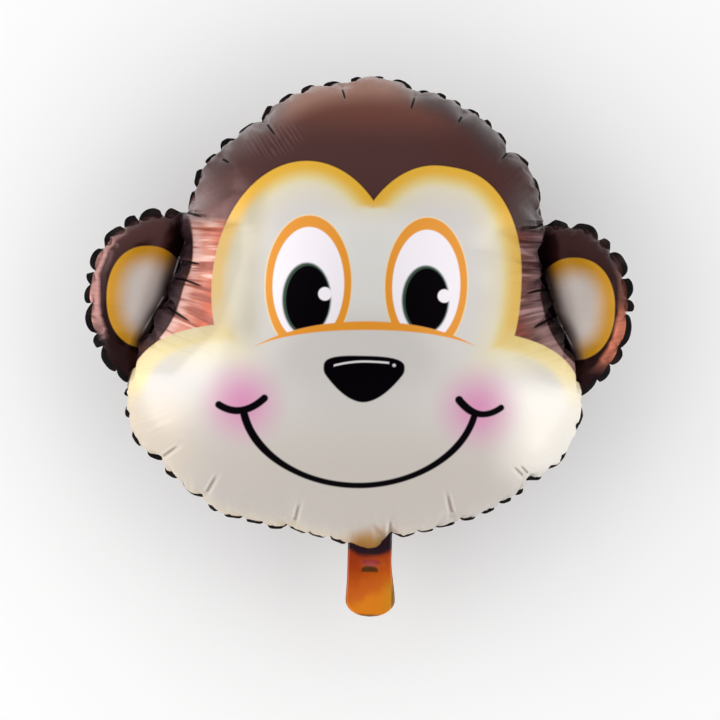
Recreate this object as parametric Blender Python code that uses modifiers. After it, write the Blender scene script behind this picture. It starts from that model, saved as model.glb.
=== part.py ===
"""Foil monkey head balloon, lying on its back with its printed face up.

Two sheets of metallised film are welded together round one outline and filled with air, and an
amber filling tail is held between them at the chin. +X is the monkey's left ear as the viewer sees
it on the right, +Y points from the chin to the crown, and +Z is the way the face looks. The origin
is the middle of the small flat spot that the balloon rests on. Metres throughout.
"""

import math

import bmesh
import bpy
from mathutils import Vector

# Head, at the weld
HEAD_WIDTH = 0.407
HEAD_HEIGHT = 0.414
HEAD_HALF_DEPTH = 0.124
# The right half of the head's weld line from crown to chin, as shares of half the head's width and
# of its height, measured from the point where the face bulges most
HEAD_OUTLINE_SHARES = (
    (0.000, 0.544),
    (0.200, 0.530),
    (0.392, 0.492),
    (0.570, 0.424),
    (0.704, 0.352),
    (0.778, 0.270),
    (0.797, 0.190),
    (0.835, 0.115),
    (0.895, 0.035),
    (0.965, -0.040),
    (1.000, -0.115),
    (0.995, -0.188),
    (0.923, -0.262),
    (0.767, -0.331),
    (0.566, -0.396),
    (0.312, -0.434),
    (0.000, -0.456),
)
# Width and height of the oval that the level lines run into towards the middle of the face, as
# shares of the head's own
HEAD_OVAL_SHARES = (0.90, 0.96)

# Ears, at the weld
EAR_HEIGHT = 0.158
EAR_WIDTH = 0.090
EAR_HALF_DEPTH = 0.025
EAR_STANDOFF = 0.0045
EAR_CENTRE_X = HEAD_WIDTH / 2 + EAR_STANDOFF
EAR_CENTRE_Y = 0.024
# The free side of the right ear's weld line, clockwise from its top to its lobe, as shares of its
# own half width and height from the ear's centre. The rest of the line runs along the head.
EAR_OUTLINE_SHARES = (
    (-1.060, 0.484),
    (-0.370, 0.480),
    (0.250, 0.395),
    (0.676, 0.260),
    (0.856, 0.090),
    (0.844, -0.100),
    (0.665, -0.270),
    (0.340, -0.405),
    (-0.040, -0.485),
)
EAR_OVAL_SHARES = (0.62, 0.90)
EAR_ROOT_GAP = 0.0015
EAR_ROOT_POINTS = 5

# Amber filling tail, thinner where it is pressed into the weld
TAIL_LENGTH = 0.068
TAIL_ROOT_WIDTH = 0.041
TAIL_END_WIDTH = 0.045
TAIL_THICKNESS = 0.0012
TAIL_ROOT_THICKNESS = 0.0008
TAIL_ROOT_LENGTH = 0.010
TAIL_STEP_LENGTH = 0.0010
TAIL_EDGE_BEVEL = 0.0002
TAIL_OFF_CENTRE = 0.015
TAIL_GRIP = 0.012

# Fits
PANEL_GAP = 0.0003
TAIL_CLEARANCE = 0.0003
REST_FLAT_DEPTH = 0.0035

# Welded seam that stands out all round, thick enough to hold the tail between its two lips
SEAM_WIDTH = 0.0045
SEAM_WIDTH_AT_PLEAT = 0.0015
SEAM_LIP = 0.0005
SEAM_THICKNESS = TAIL_ROOT_THICKNESS + 2 * (TAIL_CLEARANCE + SEAM_LIP)

# Pleats that take up the spare length of the seam once the film is blown out, and how far they
# reach up the wall: a long one, then two short ones, over and over
PLEAT_PITCH = 0.0190
PLEAT_DEPTH = 0.0040
LONG_PLEAT_REACH = 0.040
SHORT_PLEAT_REACH = 0.012
MIDDLE_PLEAT_REACH = 0.020
PLEAT_REACHES = (LONG_PLEAT_REACH, SHORT_PLEAT_REACH, MIDDLE_PLEAT_REACH)

# Lobe of film that bulges over the tail, where the weld has no pleats
LOBE_OVERHANG = 0.005
LOBE_HEIGHT = 0.022

# Mesh fineness
HEAD_RINGS = 6
EAR_RINGS = 4
SAMPLES_PER_PLEAT = 3
SPLINE_STEPS = 24
TAIL_END_ARC_STEPS = 16

SEAM_Z = HEAD_HALF_DEPTH - REST_FLAT_DEPTH


def clear_scene():
    for obj in list(bpy.data.objects):
        bpy.data.objects.remove(obj)


def new_collection(name):
    collection = bpy.data.collections.new(name)
    bpy.context.scene.collection.children.link(collection)
    return collection


def foil(name, colour, roughness, metallic):
    material = bpy.data.materials.new(name)
    material.use_nodes = True
    shader = material.node_tree.nodes["Principled BSDF"]
    shader.inputs["Base Color"].default_value = (*colour, 1.0)
    shader.inputs["Roughness"].default_value = roughness
    shader.inputs["Metallic"].default_value = metallic
    return material


def catmull_rom(points, steps):
    """A smooth closed curve through the points, with this many steps between two of them."""
    curve = []
    count = len(points)
    for i in range(count):
        before, start, end, after = (Vector(points[(i + k) % count]) for k in (-1, 0, 1, 2))
        for step in range(steps):
            t = step / steps
            curve.append(
                0.5
                * (
                    2 * start
                    + (end - before) * t
                    + (2 * before - 5 * start + 4 * end - after) * t**2
                    + (3 * start - before - 3 * end + after) * t**3
                )
            )
    return curve


def evenly_spaced(curve, count):
    """This many points at equal distances along the closed curve, from its first point."""
    ends = curve[1:] + curve[:1]
    lengths = [(b - a).length for a, b in zip(curve, ends)]
    pitch = sum(lengths) / count
    spaced = []
    travelled = 0.0
    for a, b, length in zip(curve, ends, lengths):
        while len(spaced) < count and len(spaced) * pitch <= travelled + length:
            spaced.append(a.lerp(b, (len(spaced) * pitch - travelled) / length))
        travelled += length
    return spaced


def outward_normals(points):
    """Unit normals of a clockwise closed outline, pointing out of it."""
    normals = []
    for i, _ in enumerate(points):
        along = points[(i + 1) % len(points)] - points[i - 1]
        normals.append(Vector((-along.y, along.x)).normalized())
    return normals


def film_profile(rings):
    """Rings of a blown-up pillow from its weld to its middle: (share of the outline, share of the depth).

    An unstretchable film takes the curve on which the slope angle's sine is the square of the radius.
    """
    fine = 40
    step = math.pi / 2 / (rings * fine)
    heights = [0.0]
    for i in range(rings * fine):
        middle = math.pi / 2 - (i + 0.5) * step
        heights.append(heights[-1] + math.sqrt(math.sin(middle)) * step)
    profile = []
    for ring in range(rings + 1):
        angle = math.pi / 2 * (1 - ring / rings)
        profile.append((math.sqrt(max(math.sin(angle), 0.0)), heights[ring * fine] / heights[-1]))
    return profile


def oval_point(direction, oval):
    """Where a ray from the middle of an oval with these semi-axes leaves it."""
    return direction / math.hypot(direction.x / oval[0], direction.y / oval[1])


def over_tail(point):
    """1 on the chin's weld at the tail's middle, falling to 0 at the tail's sides and beyond."""
    share = (point.x - TAIL_OFF_CENTRE) / (TAIL_ROOT_WIDTH / 2)
    return max(1 - share**4, 0.0) if point.y < -HEAD_HEIGHT / 4 else 0.0


def wall_offset(index, point, height):
    """How far the film stands out from its smooth form at this height: a pleat or the chin's lobe."""
    lobe = over_tail(point)
    if lobe > 0:
        return lobe * LOBE_OVERHANG * height / LOBE_HEIGHT * math.exp(1 - height / LOBE_HEIGHT)
    if index % SAMPLES_PER_PLEAT:
        return 0.0
    reach = PLEAT_REACHES[index // SAMPLES_PER_PLEAT % len(PLEAT_REACHES)]
    return -PLEAT_DEPTH * math.exp(-height / reach)


def joins_head(point, head_weld):
    """Whether a point of an ear's weld line runs along the head's."""
    return min((point - spot).length for spot in head_weld) < 2 * EAR_ROOT_GAP


def pillow_loops(outline, middle, half_depth, oval, rings, neighbour):
    """Rings of points over a pleated pillow, from near its front middle to near its back middle.

    Where its weld runs along the neighbour's, the seam is a broad band that fills their pleats.
    """
    curve = catmull_rom(outline, SPLINE_STEPS)
    length = sum((b - a).length for a, b in zip(curve, curve[1:] + curve[:1]))
    weld = evenly_spaced(curve, round(length / PLEAT_PITCH) * SAMPLES_PER_PLEAT)
    normals = outward_normals(weld)
    semi_axes = (oval[0] / 2, oval[1] / 2)
    lift = SEAM_THICKNESS / 2

    def wall_ring(share, depth_share, side):
        height = (half_depth - lift) * depth_share
        ring = []
        for index, (point, normal) in enumerate(zip(weld, normals)):
            out = (point - middle).lerp(oval_point(point - middle, semi_axes), 1 - share)
            spot = middle + out * share + normal * wall_offset(index, point, height)
            ring.append((spot.x, spot.y, SEAM_Z + side * (lift + height)))
        return ring

    def seam_width(index, point):
        if neighbour and joins_head(point, neighbour):
            return SEAM_WIDTH + EAR_ROOT_GAP + PLEAT_DEPTH
        pleat = wall_offset(index, point, 0.0)
        return pleat + SEAM_WIDTH_AT_PLEAT if pleat else SEAM_WIDTH

    def seam_ring(side):
        edge = [
            point + normal * seam_width(index, point)
            for index, (point, normal) in enumerate(zip(weld, normals))
        ]
        return [(spot.x, spot.y, SEAM_Z + side * lift) for spot in edge]

    shares = film_profile(rings)[:-1]
    front = [wall_ring(share, depth, 1) for share, depth in reversed(shares)]
    back = [wall_ring(share, depth, -1) for share, depth in shares]
    return front + [seam_ring(1), seam_ring(-1)] + back


def pleated_pillow(name, outline, centre, half_depth, oval, rings, neighbour, collection):
    """A closed pillow on a clockwise outline, pleated along its weld, with the flat seam round it."""
    middle = Vector(centre)
    mesh = bpy.data.meshes.new(name)
    bm = bmesh.new()
    rows = [
        [bm.verts.new(spot) for spot in loop]
        for loop in pillow_loops(outline, middle, half_depth, oval, rings, neighbour)
    ]
    for upper, lower in zip(rows, rows[1:]):
        for i, _ in enumerate(upper):
            j = (i + 1) % len(upper)
            bm.faces.new((upper[i], upper[j], lower[j], lower[i]))
    for row, side in ((rows[0], 1), (rows[-1], -1)):
        pole = bm.verts.new((middle.x, middle.y, SEAM_Z + side * half_depth))
        for i, _ in enumerate(row):
            bm.faces.new((row[i], row[(i + 1) % len(row)], pole))
    bmesh.ops.recalc_face_normals(bm, faces=bm.faces)
    bm.to_mesh(mesh)
    bm.free()
    pillow = bpy.data.objects.new(name, mesh)
    collection.objects.link(pillow)
    return pillow


def head_outline():
    """The whole weld line of the head, clockwise from the crown."""
    right = [(x * HEAD_WIDTH / 2, y * HEAD_HEIGHT) for x, y in HEAD_OUTLINE_SHARES]
    left = [(-x, y) for x, y in right[-2:0:-1]]
    return right + left


def ear_root(lowest, highest):
    """Points just outside the head's weld line on its right side, from the lower to the upper end."""
    curve = catmull_rom(head_outline(), SPLINE_STEPS)
    beside = [
        (point + normal * EAR_ROOT_GAP).to_tuple()
        for point, normal in zip(curve, outward_normals(curve))
        if point.x > 0 and lowest < point.y < highest
    ]
    step = len(beside) // (EAR_ROOT_POINTS + 1)
    return [beside[-step * (i + 1)] for i in range(EAR_ROOT_POINTS)]


def ear_outline(side):
    """The weld line of one ear, clockwise; side is 1 for the right one and -1 for the left."""
    free = [
        (EAR_CENTRE_X + x * EAR_WIDTH / 2, EAR_CENTRE_Y + y * EAR_HEIGHT) for x, y in EAR_OUTLINE_SHARES
    ]
    points = [(side * x, y) for x, y in free + ear_root(free[-1][1], free[0][1])]
    return points if side > 0 else points[::-1]


def box(name, low, high, collection):
    """A helper block between two corners, which is never part of the model."""
    mesh = bpy.data.meshes.new(name)
    bm = bmesh.new()
    bmesh.ops.create_cube(bm, size=1.0)
    low, high = Vector(low), Vector(high)
    for vertex in bm.verts:
        vertex.co = Vector((a + (b - a) * (t + 0.5) for a, b, t in zip(low, high, vertex.co)))
    bm.to_mesh(mesh)
    bm.free()
    block = bpy.data.objects.new(name, mesh)
    collection.objects.link(block)
    return block


def as_helper(obj):
    obj.hide_render = True
    obj.display_type = "WIRE"


def boolean(obj, operation, other):
    modifier = obj.modifiers.new(f"{operation.lower()}_{other.name}", "BOOLEAN")
    modifier.operation = operation
    modifier.solver = "EXACT"
    modifier.object = other


def evaluated_copy(obj, name, collection):
    """A new object with the mesh that the modifiers make of obj."""
    graph = bpy.context.evaluated_depsgraph_get()
    mesh = bpy.data.meshes.new_from_object(obj.evaluated_get(graph))
    mesh.name = name
    copy = bpy.data.objects.new(name, mesh)
    copy.matrix_world = obj.matrix_world
    collection.objects.link(copy)
    return copy


def blown_envelope(helpers):
    """Head and both ears as one solid, with the crease where each ear meets the head."""
    head_oval = (HEAD_OVAL_SHARES[0] * HEAD_WIDTH, HEAD_OVAL_SHARES[1] * HEAD_HEIGHT)
    ear_oval = (EAR_OVAL_SHARES[0] * EAR_WIDTH, EAR_OVAL_SHARES[1] * EAR_HEIGHT)
    head_weld = catmull_rom(head_outline(), SPLINE_STEPS)
    head = pleated_pillow(
        "head_form", head_outline(), (0.0, 0.0), HEAD_HALF_DEPTH, head_oval, HEAD_RINGS, None, helpers
    )
    for side, label in ((1, "right"), (-1, "left")):
        ear = pleated_pillow(
            f"{label}_ear_form",
            ear_outline(side),
            (side * EAR_CENTRE_X, EAR_CENTRE_Y),
            EAR_HALF_DEPTH,
            ear_oval,
            EAR_RINGS,
            head_weld,
            helpers,
        )
        boolean(head, "UNION", ear)
        as_helper(ear)
    as_helper(head)
    return head


def chin_weld_y():
    """Height of the weld line at the tail's middle."""
    curve = catmull_rom(head_outline(), SPLINE_STEPS)
    below = [point for point in curve if point.y < 0]
    return min(below, key=lambda point: abs(point.x - TAIL_OFF_CENTRE)).y


def tail_outline(grow):
    """The tail's flat outline from its gripped root to its round end, made wider all round by grow."""
    root_y = chin_weld_y() + TAIL_GRIP + grow
    end_radius = TAIL_END_WIDTH / 2
    end_y = chin_weld_y() - TAIL_LENGTH + end_radius
    points = [(-TAIL_ROOT_WIDTH / 2 - grow, root_y)]
    for i in range(TAIL_END_ARC_STEPS + 1):
        angle = math.pi * (1 + i / TAIL_END_ARC_STEPS)
        points.append(
            ((end_radius + grow) * math.cos(angle), end_y + (end_radius + grow) * math.sin(angle))
        )
    points.append((TAIL_ROOT_WIDTH / 2 + grow, root_y))
    return [(TAIL_OFF_CENTRE + x, y) for x, y in points]


def flat_tongue(name, outline, thickness, collection):
    """A plate of this outline, centred on the seam's plane."""
    mesh = bpy.data.meshes.new(name)
    bm = bmesh.new()
    face = bm.faces.new([bm.verts.new((x, y, -thickness / 2)) for x, y in outline])
    made = bmesh.ops.extrude_face_region(bm, geom=[face])
    raised = [item for item in made["geom"] if isinstance(item, bmesh.types.BMVert)]
    bmesh.ops.translate(bm, verts=raised, vec=(0.0, 0.0, thickness))
    bmesh.ops.recalc_face_normals(bm, faces=bm.faces)
    bm.to_mesh(mesh)
    bm.free()
    tongue = bpy.data.objects.new(name, mesh)
    tongue.location = (0.0, 0.0, SEAM_Z)
    collection.objects.link(tongue)
    return tongue


def press_root(tongue, step_start, step_end):
    """Thin the tongue's root to what the weld leaves of it, with a short slope at the step."""
    bm = bmesh.new()
    bm.from_mesh(tongue.data)
    for y in (step_start, step_end):
        everything = bm.verts[:] + bm.edges[:] + bm.faces[:]
        bmesh.ops.bisect_plane(bm, geom=everything, plane_co=(0.0, y, 0.0), plane_no=(0.0, 1.0, 0.0))
    middle = (step_start + step_end) / 2
    for vertex in bm.verts:
        if vertex.co.y > middle:
            vertex.co.z *= TAIL_ROOT_THICKNESS / TAIL_THICKNESS
    bm.to_mesh(tongue.data)
    bm.free()


def filling_tail(collection):
    tail = flat_tongue("filling_tail", tail_outline(0.0), TAIL_THICKNESS, collection)
    step_start = chin_weld_y() - TAIL_ROOT_LENGTH
    press_root(tail, step_start, step_start - TAIL_STEP_LENGTH)
    edge = tail.modifiers.new("soft_edge", "BEVEL")
    edge.width = TAIL_EDGE_BEVEL
    edge.segments = 1
    return tail


def main():
    clear_scene()
    balloon = new_collection("monkey_head_balloon")
    helpers = new_collection("helpers")
    reach = HEAD_WIDTH + HEAD_HEIGHT

    pocket = flat_tongue(
        "tail_pocket", tail_outline(TAIL_CLEARANCE), TAIL_ROOT_THICKNESS + 2 * TAIL_CLEARANCE, helpers
    )
    floor = box("below_floor", (-reach, -reach, -reach), (reach, reach, 0.0), helpers)
    behind = box("behind_weld", (-reach, -reach, -reach), (reach, reach, SEAM_Z + PANEL_GAP / 2), helpers)
    ahead = box("ahead_of_weld", (-reach, -reach, SEAM_Z - PANEL_GAP / 2), (reach, reach, reach), helpers)
    for helper in (pocket, floor, behind, ahead):
        as_helper(helper)

    envelope = blown_envelope(helpers)
    bpy.context.view_layer.update()

    front = evaluated_copy(envelope, "front_foil", balloon)
    back = evaluated_copy(envelope, "back_foil", balloon)
    boolean(front, "DIFFERENCE", behind)
    boolean(front, "DIFFERENCE", pocket)
    boolean(back, "DIFFERENCE", ahead)
    boolean(back, "DIFFERENCE", pocket)
    boolean(back, "DIFFERENCE", floor)

    tail = filling_tail(balloon)

    for obj, name, colour, roughness, metallic in (
        (front, "printed_front", (0.80, 0.74, 0.68), 0.35, 0.3),
        (back, "plain_back", (0.10, 0.045, 0.035), 0.25, 0.8),
        (tail, "amber_tail", (0.75, 0.27, 0.02), 0.30, 0.4),
    ):
        obj.data.materials.clear()
        obj.data.materials.append(foil(name, colour, roughness, metallic))


main()
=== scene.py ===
"""Looks of the foil monkey head balloon.

The film is blown out here from its flat pattern as an unstretchable sheet, so its pleats and
creases come where real film makes them. The painted face is drawn by shader nodes on a map of the
face as it is seen from straight above. Metres throughout, in the CAD model's frame.
"""

import math

import bpy
import numpy as np
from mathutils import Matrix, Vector
from mathutils.geometry import delaunay_2d_cdt


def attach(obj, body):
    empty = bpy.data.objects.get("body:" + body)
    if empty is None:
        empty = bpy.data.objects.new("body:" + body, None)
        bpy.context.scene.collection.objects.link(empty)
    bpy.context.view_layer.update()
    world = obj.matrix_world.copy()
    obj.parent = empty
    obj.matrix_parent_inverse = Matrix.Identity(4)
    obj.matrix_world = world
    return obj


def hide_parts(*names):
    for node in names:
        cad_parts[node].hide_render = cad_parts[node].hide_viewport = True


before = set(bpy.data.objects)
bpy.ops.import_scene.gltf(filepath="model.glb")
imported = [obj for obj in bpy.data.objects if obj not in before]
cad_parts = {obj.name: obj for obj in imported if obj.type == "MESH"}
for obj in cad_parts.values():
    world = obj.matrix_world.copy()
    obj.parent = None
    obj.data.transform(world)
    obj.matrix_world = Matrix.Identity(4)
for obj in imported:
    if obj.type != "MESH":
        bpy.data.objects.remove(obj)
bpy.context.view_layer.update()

# The CAD model's own sizes
HEAD_WIDTH = 0.407
HEAD_HEIGHT = 0.414
HEAD_HALF_DEPTH = 0.124
REST_FLAT_DEPTH = 0.0035
SEAM_Z = HEAD_HALF_DEPTH - REST_FLAT_DEPTH
HEAD_OUTLINE_SHARES = (
    (0.000, 0.544), (0.200, 0.530), (0.392, 0.492), (0.570, 0.424), (0.704, 0.352), (0.778, 0.270),
    (0.797, 0.190), (0.835, 0.115), (0.895, 0.035), (0.965, -0.040), (1.000, -0.115), (0.995, -0.188),
    (0.923, -0.262), (0.767, -0.331), (0.566, -0.396), (0.312, -0.434), (0.000, -0.456),
)
EAR_HEIGHT = 0.158
EAR_WIDTH = 0.090
EAR_CENTRE = (HEAD_WIDTH / 2 + 0.0045, 0.024)
EAR_OUTLINE_SHARES = (
    (-1.060, 0.484), (-0.370, 0.480), (0.250, 0.395), (0.676, 0.260), (0.856, 0.090), (0.844, -0.100),
    (0.665, -0.270), (0.340, -0.405), (-0.040, -0.485),
)
TAIL_X = 0.015
TAIL_ROOT_WIDTH = 0.041
TAIL_END_WIDTH = 0.045
TAIL_LENGTH = 0.068
TAIL_GRIP = 0.010
TAIL_FILM = 0.0006

# Blowing out: the share of its flat width that the film keeps, the gap that is left for the air at
# each ear's inner weld, the mesh's and the pleats' pitch, and the shortest wave that is guided
BLOWN_SHARE = 0.763
CHANNEL = 0.026
FIRST_PITCH = 0.010
PLEAT_PITCH = 0.0165
PLEAT_SEED_DEPTH = 0.0020
GUIDED_WAVE = 0.040
# The seeded pleats: how unequal their pitches are, and how far over the film they fade
PITCH_SPREAD = 0.35
SEED_FADE = 0.02
# How close to a weld the mesh's inner points come, as a share of the pitch
WELD_CLEARANCE = 0.62
# The steps of each stage, and how far the air pushes the film in a step
FIRST_STEPS = 750
FIRST_PUSHES = (2e-5, 5e-6)
SMOOTH_STEPS = 350
PLEAT_STEPS = 400
FINE_STEPS = 350
PUSH = 1.25e-6
# The share of its speed that the film keeps in a step, and how firmly its outline is guided, in the
# first stage and later
FIRST_DAMPING = 0.985
DAMPING = 0.97
FIRST_PULL = 0.02
OUTLINE_PULL = 0.05
FOLD_STIFFNESS = 0.02
# The film before the first step: a little smaller than its pattern, and just above the weld's plane
START_SHARE = 0.97
START_HEIGHT = 0.004

# Camera of the photograph
CAMERA_SPOT = (0.00076, -0.0272)
CAMERA_DISTANCE = 2.6
PHOTO_WIDTH = 0.653
PHOTO_LEAN = math.radians(1.6)
SENSOR = 36.0

# How wide the painted maps are, in metres
MAP_SPAN = 0.60

SEED = 3


# ---- Outlines


SPLINE_STEPS = 24
OUTLINE_POINTS = 1600


def spline_point(before, start, end, after, t):
    return 0.5 * (
        2 * start
        + (end - before) * t
        + (2 * before - 5 * start + 4 * end - after) * t**2
        + (3 * start - before - 3 * end + after) * t**3
    )


def spline(points, closed):
    """A smooth curve through the points, with SPLINE_STEPS steps from each to the next."""
    pts = np.array(points, float)
    if closed:
        padded = np.vstack([pts[-1:], pts, pts[:2]])
    else:
        padded = np.vstack([2 * pts[0] - pts[1], pts, 2 * pts[-1] - pts[-2]])
    t = (np.arange(SPLINE_STEPS) / SPLINE_STEPS)[:, None]
    spans = [spline_point(*padded[i - 1: i + 3], t) for i in range(1, len(padded) - 2)]
    return np.vstack(spans if closed else spans + [pts[-1:]])


def run_length(curve):
    steps = np.linalg.norm(np.diff(curve, axis=0), axis=1)
    return np.concatenate([[0], np.cumsum(steps)])


def points_at(curve, run, spots):
    """The points that lie so far along a curve, whose own points' places along it are given."""
    return np.column_stack([np.interp(spots, run, curve[:, k]) for k in (0, 1)])


def evenly(curve, count):
    """Points at equal distances round a closed curve."""
    closed = np.vstack([curve, curve[:1]])
    run = run_length(closed)
    return points_at(closed, run, np.arange(count) / count * run[-1])


def smooth_loop(curve, times):
    for _ in range(times):
        curve = 0.25 * np.roll(curve, 1, axis=0) + 0.5 * curve + 0.25 * np.roll(curve, -1, axis=0)
    return curve


def inside(points, polygon):
    x, y = points[:, 0], points[:, 1]
    hit = np.zeros(len(points), bool)
    for (x0, y0), (x1, y1) in zip(polygon, np.roll(polygon, -1, axis=0)):
        if y0 == y1:
            continue
        crosses = (y0 > y) != (y1 > y)
        hit ^= crosses & (x < (x1 - x0) * (y - y0) / (y1 - y0) + x0)
    return hit


def outward_normals(curve):
    """Unit normals of a clockwise closed outline."""
    along = np.roll(curve, -1, axis=0) - np.roll(curve, 1, axis=0)
    normal = np.column_stack([-along[:, 1], along[:, 0]])
    return normal / np.linalg.norm(normal, axis=1)[:, None]


def head_curve():
    right = [(x * HEAD_WIDTH / 2, y * HEAD_HEIGHT) for x, y in HEAD_OUTLINE_SHARES]
    left = [(-x, y) for x, y in right[-2:0:-1]]
    return spline(right + left, True)


def envelope_outline():
    """The clockwise outline of head and ears, and the right ear's inner weld from its lower end up."""
    head = head_curve()
    head_right = head[: len(head) // 2 + 1]
    free = [
        (EAR_CENTRE[0] + x * EAR_WIDTH / 2, EAR_CENTRE[1] + y * EAR_HEIGHT) for x, y in EAR_OUTLINE_SHARES
    ]
    ear = spline(free, False)
    upper = int(np.argmin(np.linalg.norm(head_right - ear[0], axis=1)))
    lower = int(np.argmin(np.linalg.norm(head_right - ear[-1], axis=1)))
    right_side = np.vstack([head_right[:upper], ear[2:-2], head_right[lower + 1:]])
    left_side = right_side[-2:0:-1] * (-1, 1)
    inner = head_right[upper: lower + 1][::-1]
    run = run_length(inner)
    return np.vstack([right_side, left_side]), inner[run < run[-1] - CHANNEL]


# ---- Film mesh


def fill_pattern(rim, lines, pitch):
    """Rows of points inside the rim, none close to a weld."""
    low, high = rim.min(axis=0), rim.max(axis=0)
    row = pitch * math.sqrt(3) / 2
    grid = []
    for j in range(int((high[1] - low[1]) / row) + 2):
        xs = np.arange(low[0] - pitch, high[0] + pitch, pitch) + (pitch / 2 if j % 2 else 0.0)
        grid.append(np.column_stack([xs, np.full(len(xs), low[1] + j * row)]))
    grid = np.vstack(grid)
    grid = grid[inside(grid, rim)]
    gap = np.min(np.linalg.norm(grid[:, None, :] - lines[None, :, :], axis=2), axis=1)
    return grid[gap > WELD_CLEARANCE * pitch]


def first_mesh(outline, inner, pitch):
    """The flat pattern in near-equal triangles, with the rim's vertices first and then the inner welds'."""
    length = run_length(np.vstack([outline, outline[:1]]))[-1]
    rim = evenly(outline, int(round(length / pitch)))
    run = run_length(inner)
    right = points_at(inner, run, np.linspace(0, run[-1], int(round(run[-1] / pitch)) + 1))[1:]
    left = right * (-1, 1)
    lines = np.vstack([rim, right, left])
    grid = fill_pattern(rim, lines, pitch)
    n, m = len(rim), len(right)
    edges = [(i, (i + 1) % n) for i in range(n)]
    welds = []
    for k, start in enumerate((inner[0], inner[0] * (-1, 1))):
        notch = int(np.argmin(np.linalg.norm(rim - start, axis=1)))
        weld = np.concatenate([[notch], np.arange(n + k * m, n + (k + 1) * m)])
        edges += [(int(a), int(b)) for a, b in zip(weld, weld[1:])]
        welds.append(weld)
    points = [Vector(p) for p in np.vstack([lines, grid])]
    out = delaunay_2d_cdt(points, edges, [list(range(n))], 1, 1e-7)
    flat = np.array([tuple(v) for v in out[0]])
    faces = np.array([f for f in out[2]])
    a, b, c = (flat[faces[:, k]] for k in range(3))
    turn = (b[:, 0] - a[:, 0]) * (c[:, 1] - a[:, 1]) - (b[:, 1] - a[:, 1]) * (c[:, 0] - a[:, 0])
    faces[turn < 0] = faces[turn < 0][:, ::-1]
    return flat, faces, np.arange(n), welds


def edges_of(faces):
    """Unique edges, each face's edge numbers, and the pairs of corners opposite a shared edge."""
    pairs = np.vstack([faces[:, [0, 1]], faces[:, [1, 2]], faces[:, [2, 0]]])
    opposite = np.concatenate([faces[:, 2], faces[:, 0], faces[:, 1]])
    key = np.sort(pairs, axis=1)
    edges, index, count = np.unique(key, axis=0, return_inverse=True, return_counts=True)
    index = index.reshape(-1)
    order = np.argsort(index, kind="stable")
    starts = np.concatenate([[0], np.cumsum(count)[:-1]])
    shared = count == 2
    first = opposite[order[starts[shared]]]
    second = opposite[order[starts[shared] + 1]]
    return edges, index.reshape(3, -1).T, np.column_stack([first, second])


def between(line, lookup, first_new, closed):
    """The line of vertices with the new one in the middle of each of its edges."""
    ends = np.roll(line, -1) if closed else line[1:]
    mids = [first_new + lookup[tuple(sorted((int(a), int(b))))] for a, b in zip(line, ends)]
    longer = np.empty(len(line) + len(mids), int)
    longer[0::2] = line
    longer[1::2] = mids
    return longer


def refine(film, outline):
    """Each triangle in four. New rim vertices go onto the outline in the flat pattern."""
    edges, face_edges, _ = edges_of(film["faces"])
    n = len(film["flat"])
    lookup = {tuple(e): i for i, e in enumerate(edges.tolist())}
    rim = between(film["rim"], lookup, n, True)
    finer = {"rim": rim, "welds": [between(w, lookup, n, False) for w in film["welds"]]}
    for name in ("flat", "shape", "smooth"):
        if name in film:
            finer[name] = np.vstack([film[name], film[name][edges].mean(axis=1)])
    finer["flat"][rim[1::2]] = evenly(outline, len(rim))[1::2]
    a, b, c = film["faces"].T
    ab, bc, ca = (n + face_edges[:, k] for k in range(3))
    parts = ((a, ab, ca), (b, bc, ab), (c, ca, bc), (ab, bc, ca))
    finer["faces"] = np.vstack([np.column_stack(part) for part in parts])
    return finer


def colour_batches(pairs, count):
    """The pairs sorted into batches in which no vertex comes twice."""
    used = [0] * count
    colours = []
    for a, b in pairs.tolist():
        taken = used[a] | used[b]
        bit = ~taken & (taken + 1)
        used[a] |= bit
        used[b] |= bit
        colours.append(bit.bit_length() - 1)
    colours = np.array(colours)
    return [np.flatnonzero(colours == c) for c in range(colours.max() + 1)]


def smoothed(shape, faces, fixed, amount, times):
    edges, _, _ = edges_of(faces)
    n = len(shape)
    count = np.bincount(edges.reshape(-1), minlength=n)[:, None]
    a, b = edges.T
    out = shape.copy()
    for _ in range(times):
        total = np.column_stack([
            np.bincount(a, out[b, k], n) + np.bincount(b, out[a, k], n) for k in range(3)
        ])
        step = (total / count - out) * amount
        step[fixed] = 0
        out = out + step
    return out


def held_lines(film):
    return np.concatenate([film["rim"]] + film["welds"])


# ---- Blowing out


def rest_lengths(pairs, film, keep):
    """The flat pattern's lengths, but only a share of what the smooth form squeezes away."""
    full = np.linalg.norm(film["flat"][pairs[:, 0]] - film["flat"][pairs[:, 1]], axis=1)
    if keep is None:
        return full
    now = np.linalg.norm(film["smooth"][pairs[:, 0]] - film["smooth"][pairs[:, 1]], axis=1)
    share = keep[pairs].mean(axis=1)
    return np.where(now < full, now + share * (full - now), full)


def vertex_normals(x, faces):
    a, b, c = (x[faces[:, k]] for k in range(3))
    cross = np.cross(b - a, c - a)
    spread = faces.reshape(-1)
    normal = np.column_stack([np.bincount(spread, np.repeat(cross[:, k], 3), len(x)) for k in range(3)])
    return normal / (np.linalg.norm(normal, axis=1)[:, None] + 1e-12)


def guide_rim(x, rim, target, low_pass, pull):
    """Keep the seam flat and its long waves on the outline; the short ones are the film's own."""
    x[rim, 2] = 0.0
    off = np.fft.rfft(target - x[rim, :2], axis=0) * low_pass
    x[rim, :2] += pull * np.fft.irfft(off, len(rim), axis=0)


def guide_weld(x, weld, place, span, pull):
    """Keep an inner weld flat and, on the average of span vertices, in its place."""
    x[weld, 2] = 0.0
    off = place - x[weld, :2]
    ends = span // 2
    padded = np.vstack([off[:1].repeat(ends, axis=0), off, off[-1:].repeat(ends, axis=0)])
    total = np.cumsum(np.vstack([np.zeros((1, 2)), padded]), axis=0)
    x[weld, :2] += pull * (total[span:] - total[:-span]) / span


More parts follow.
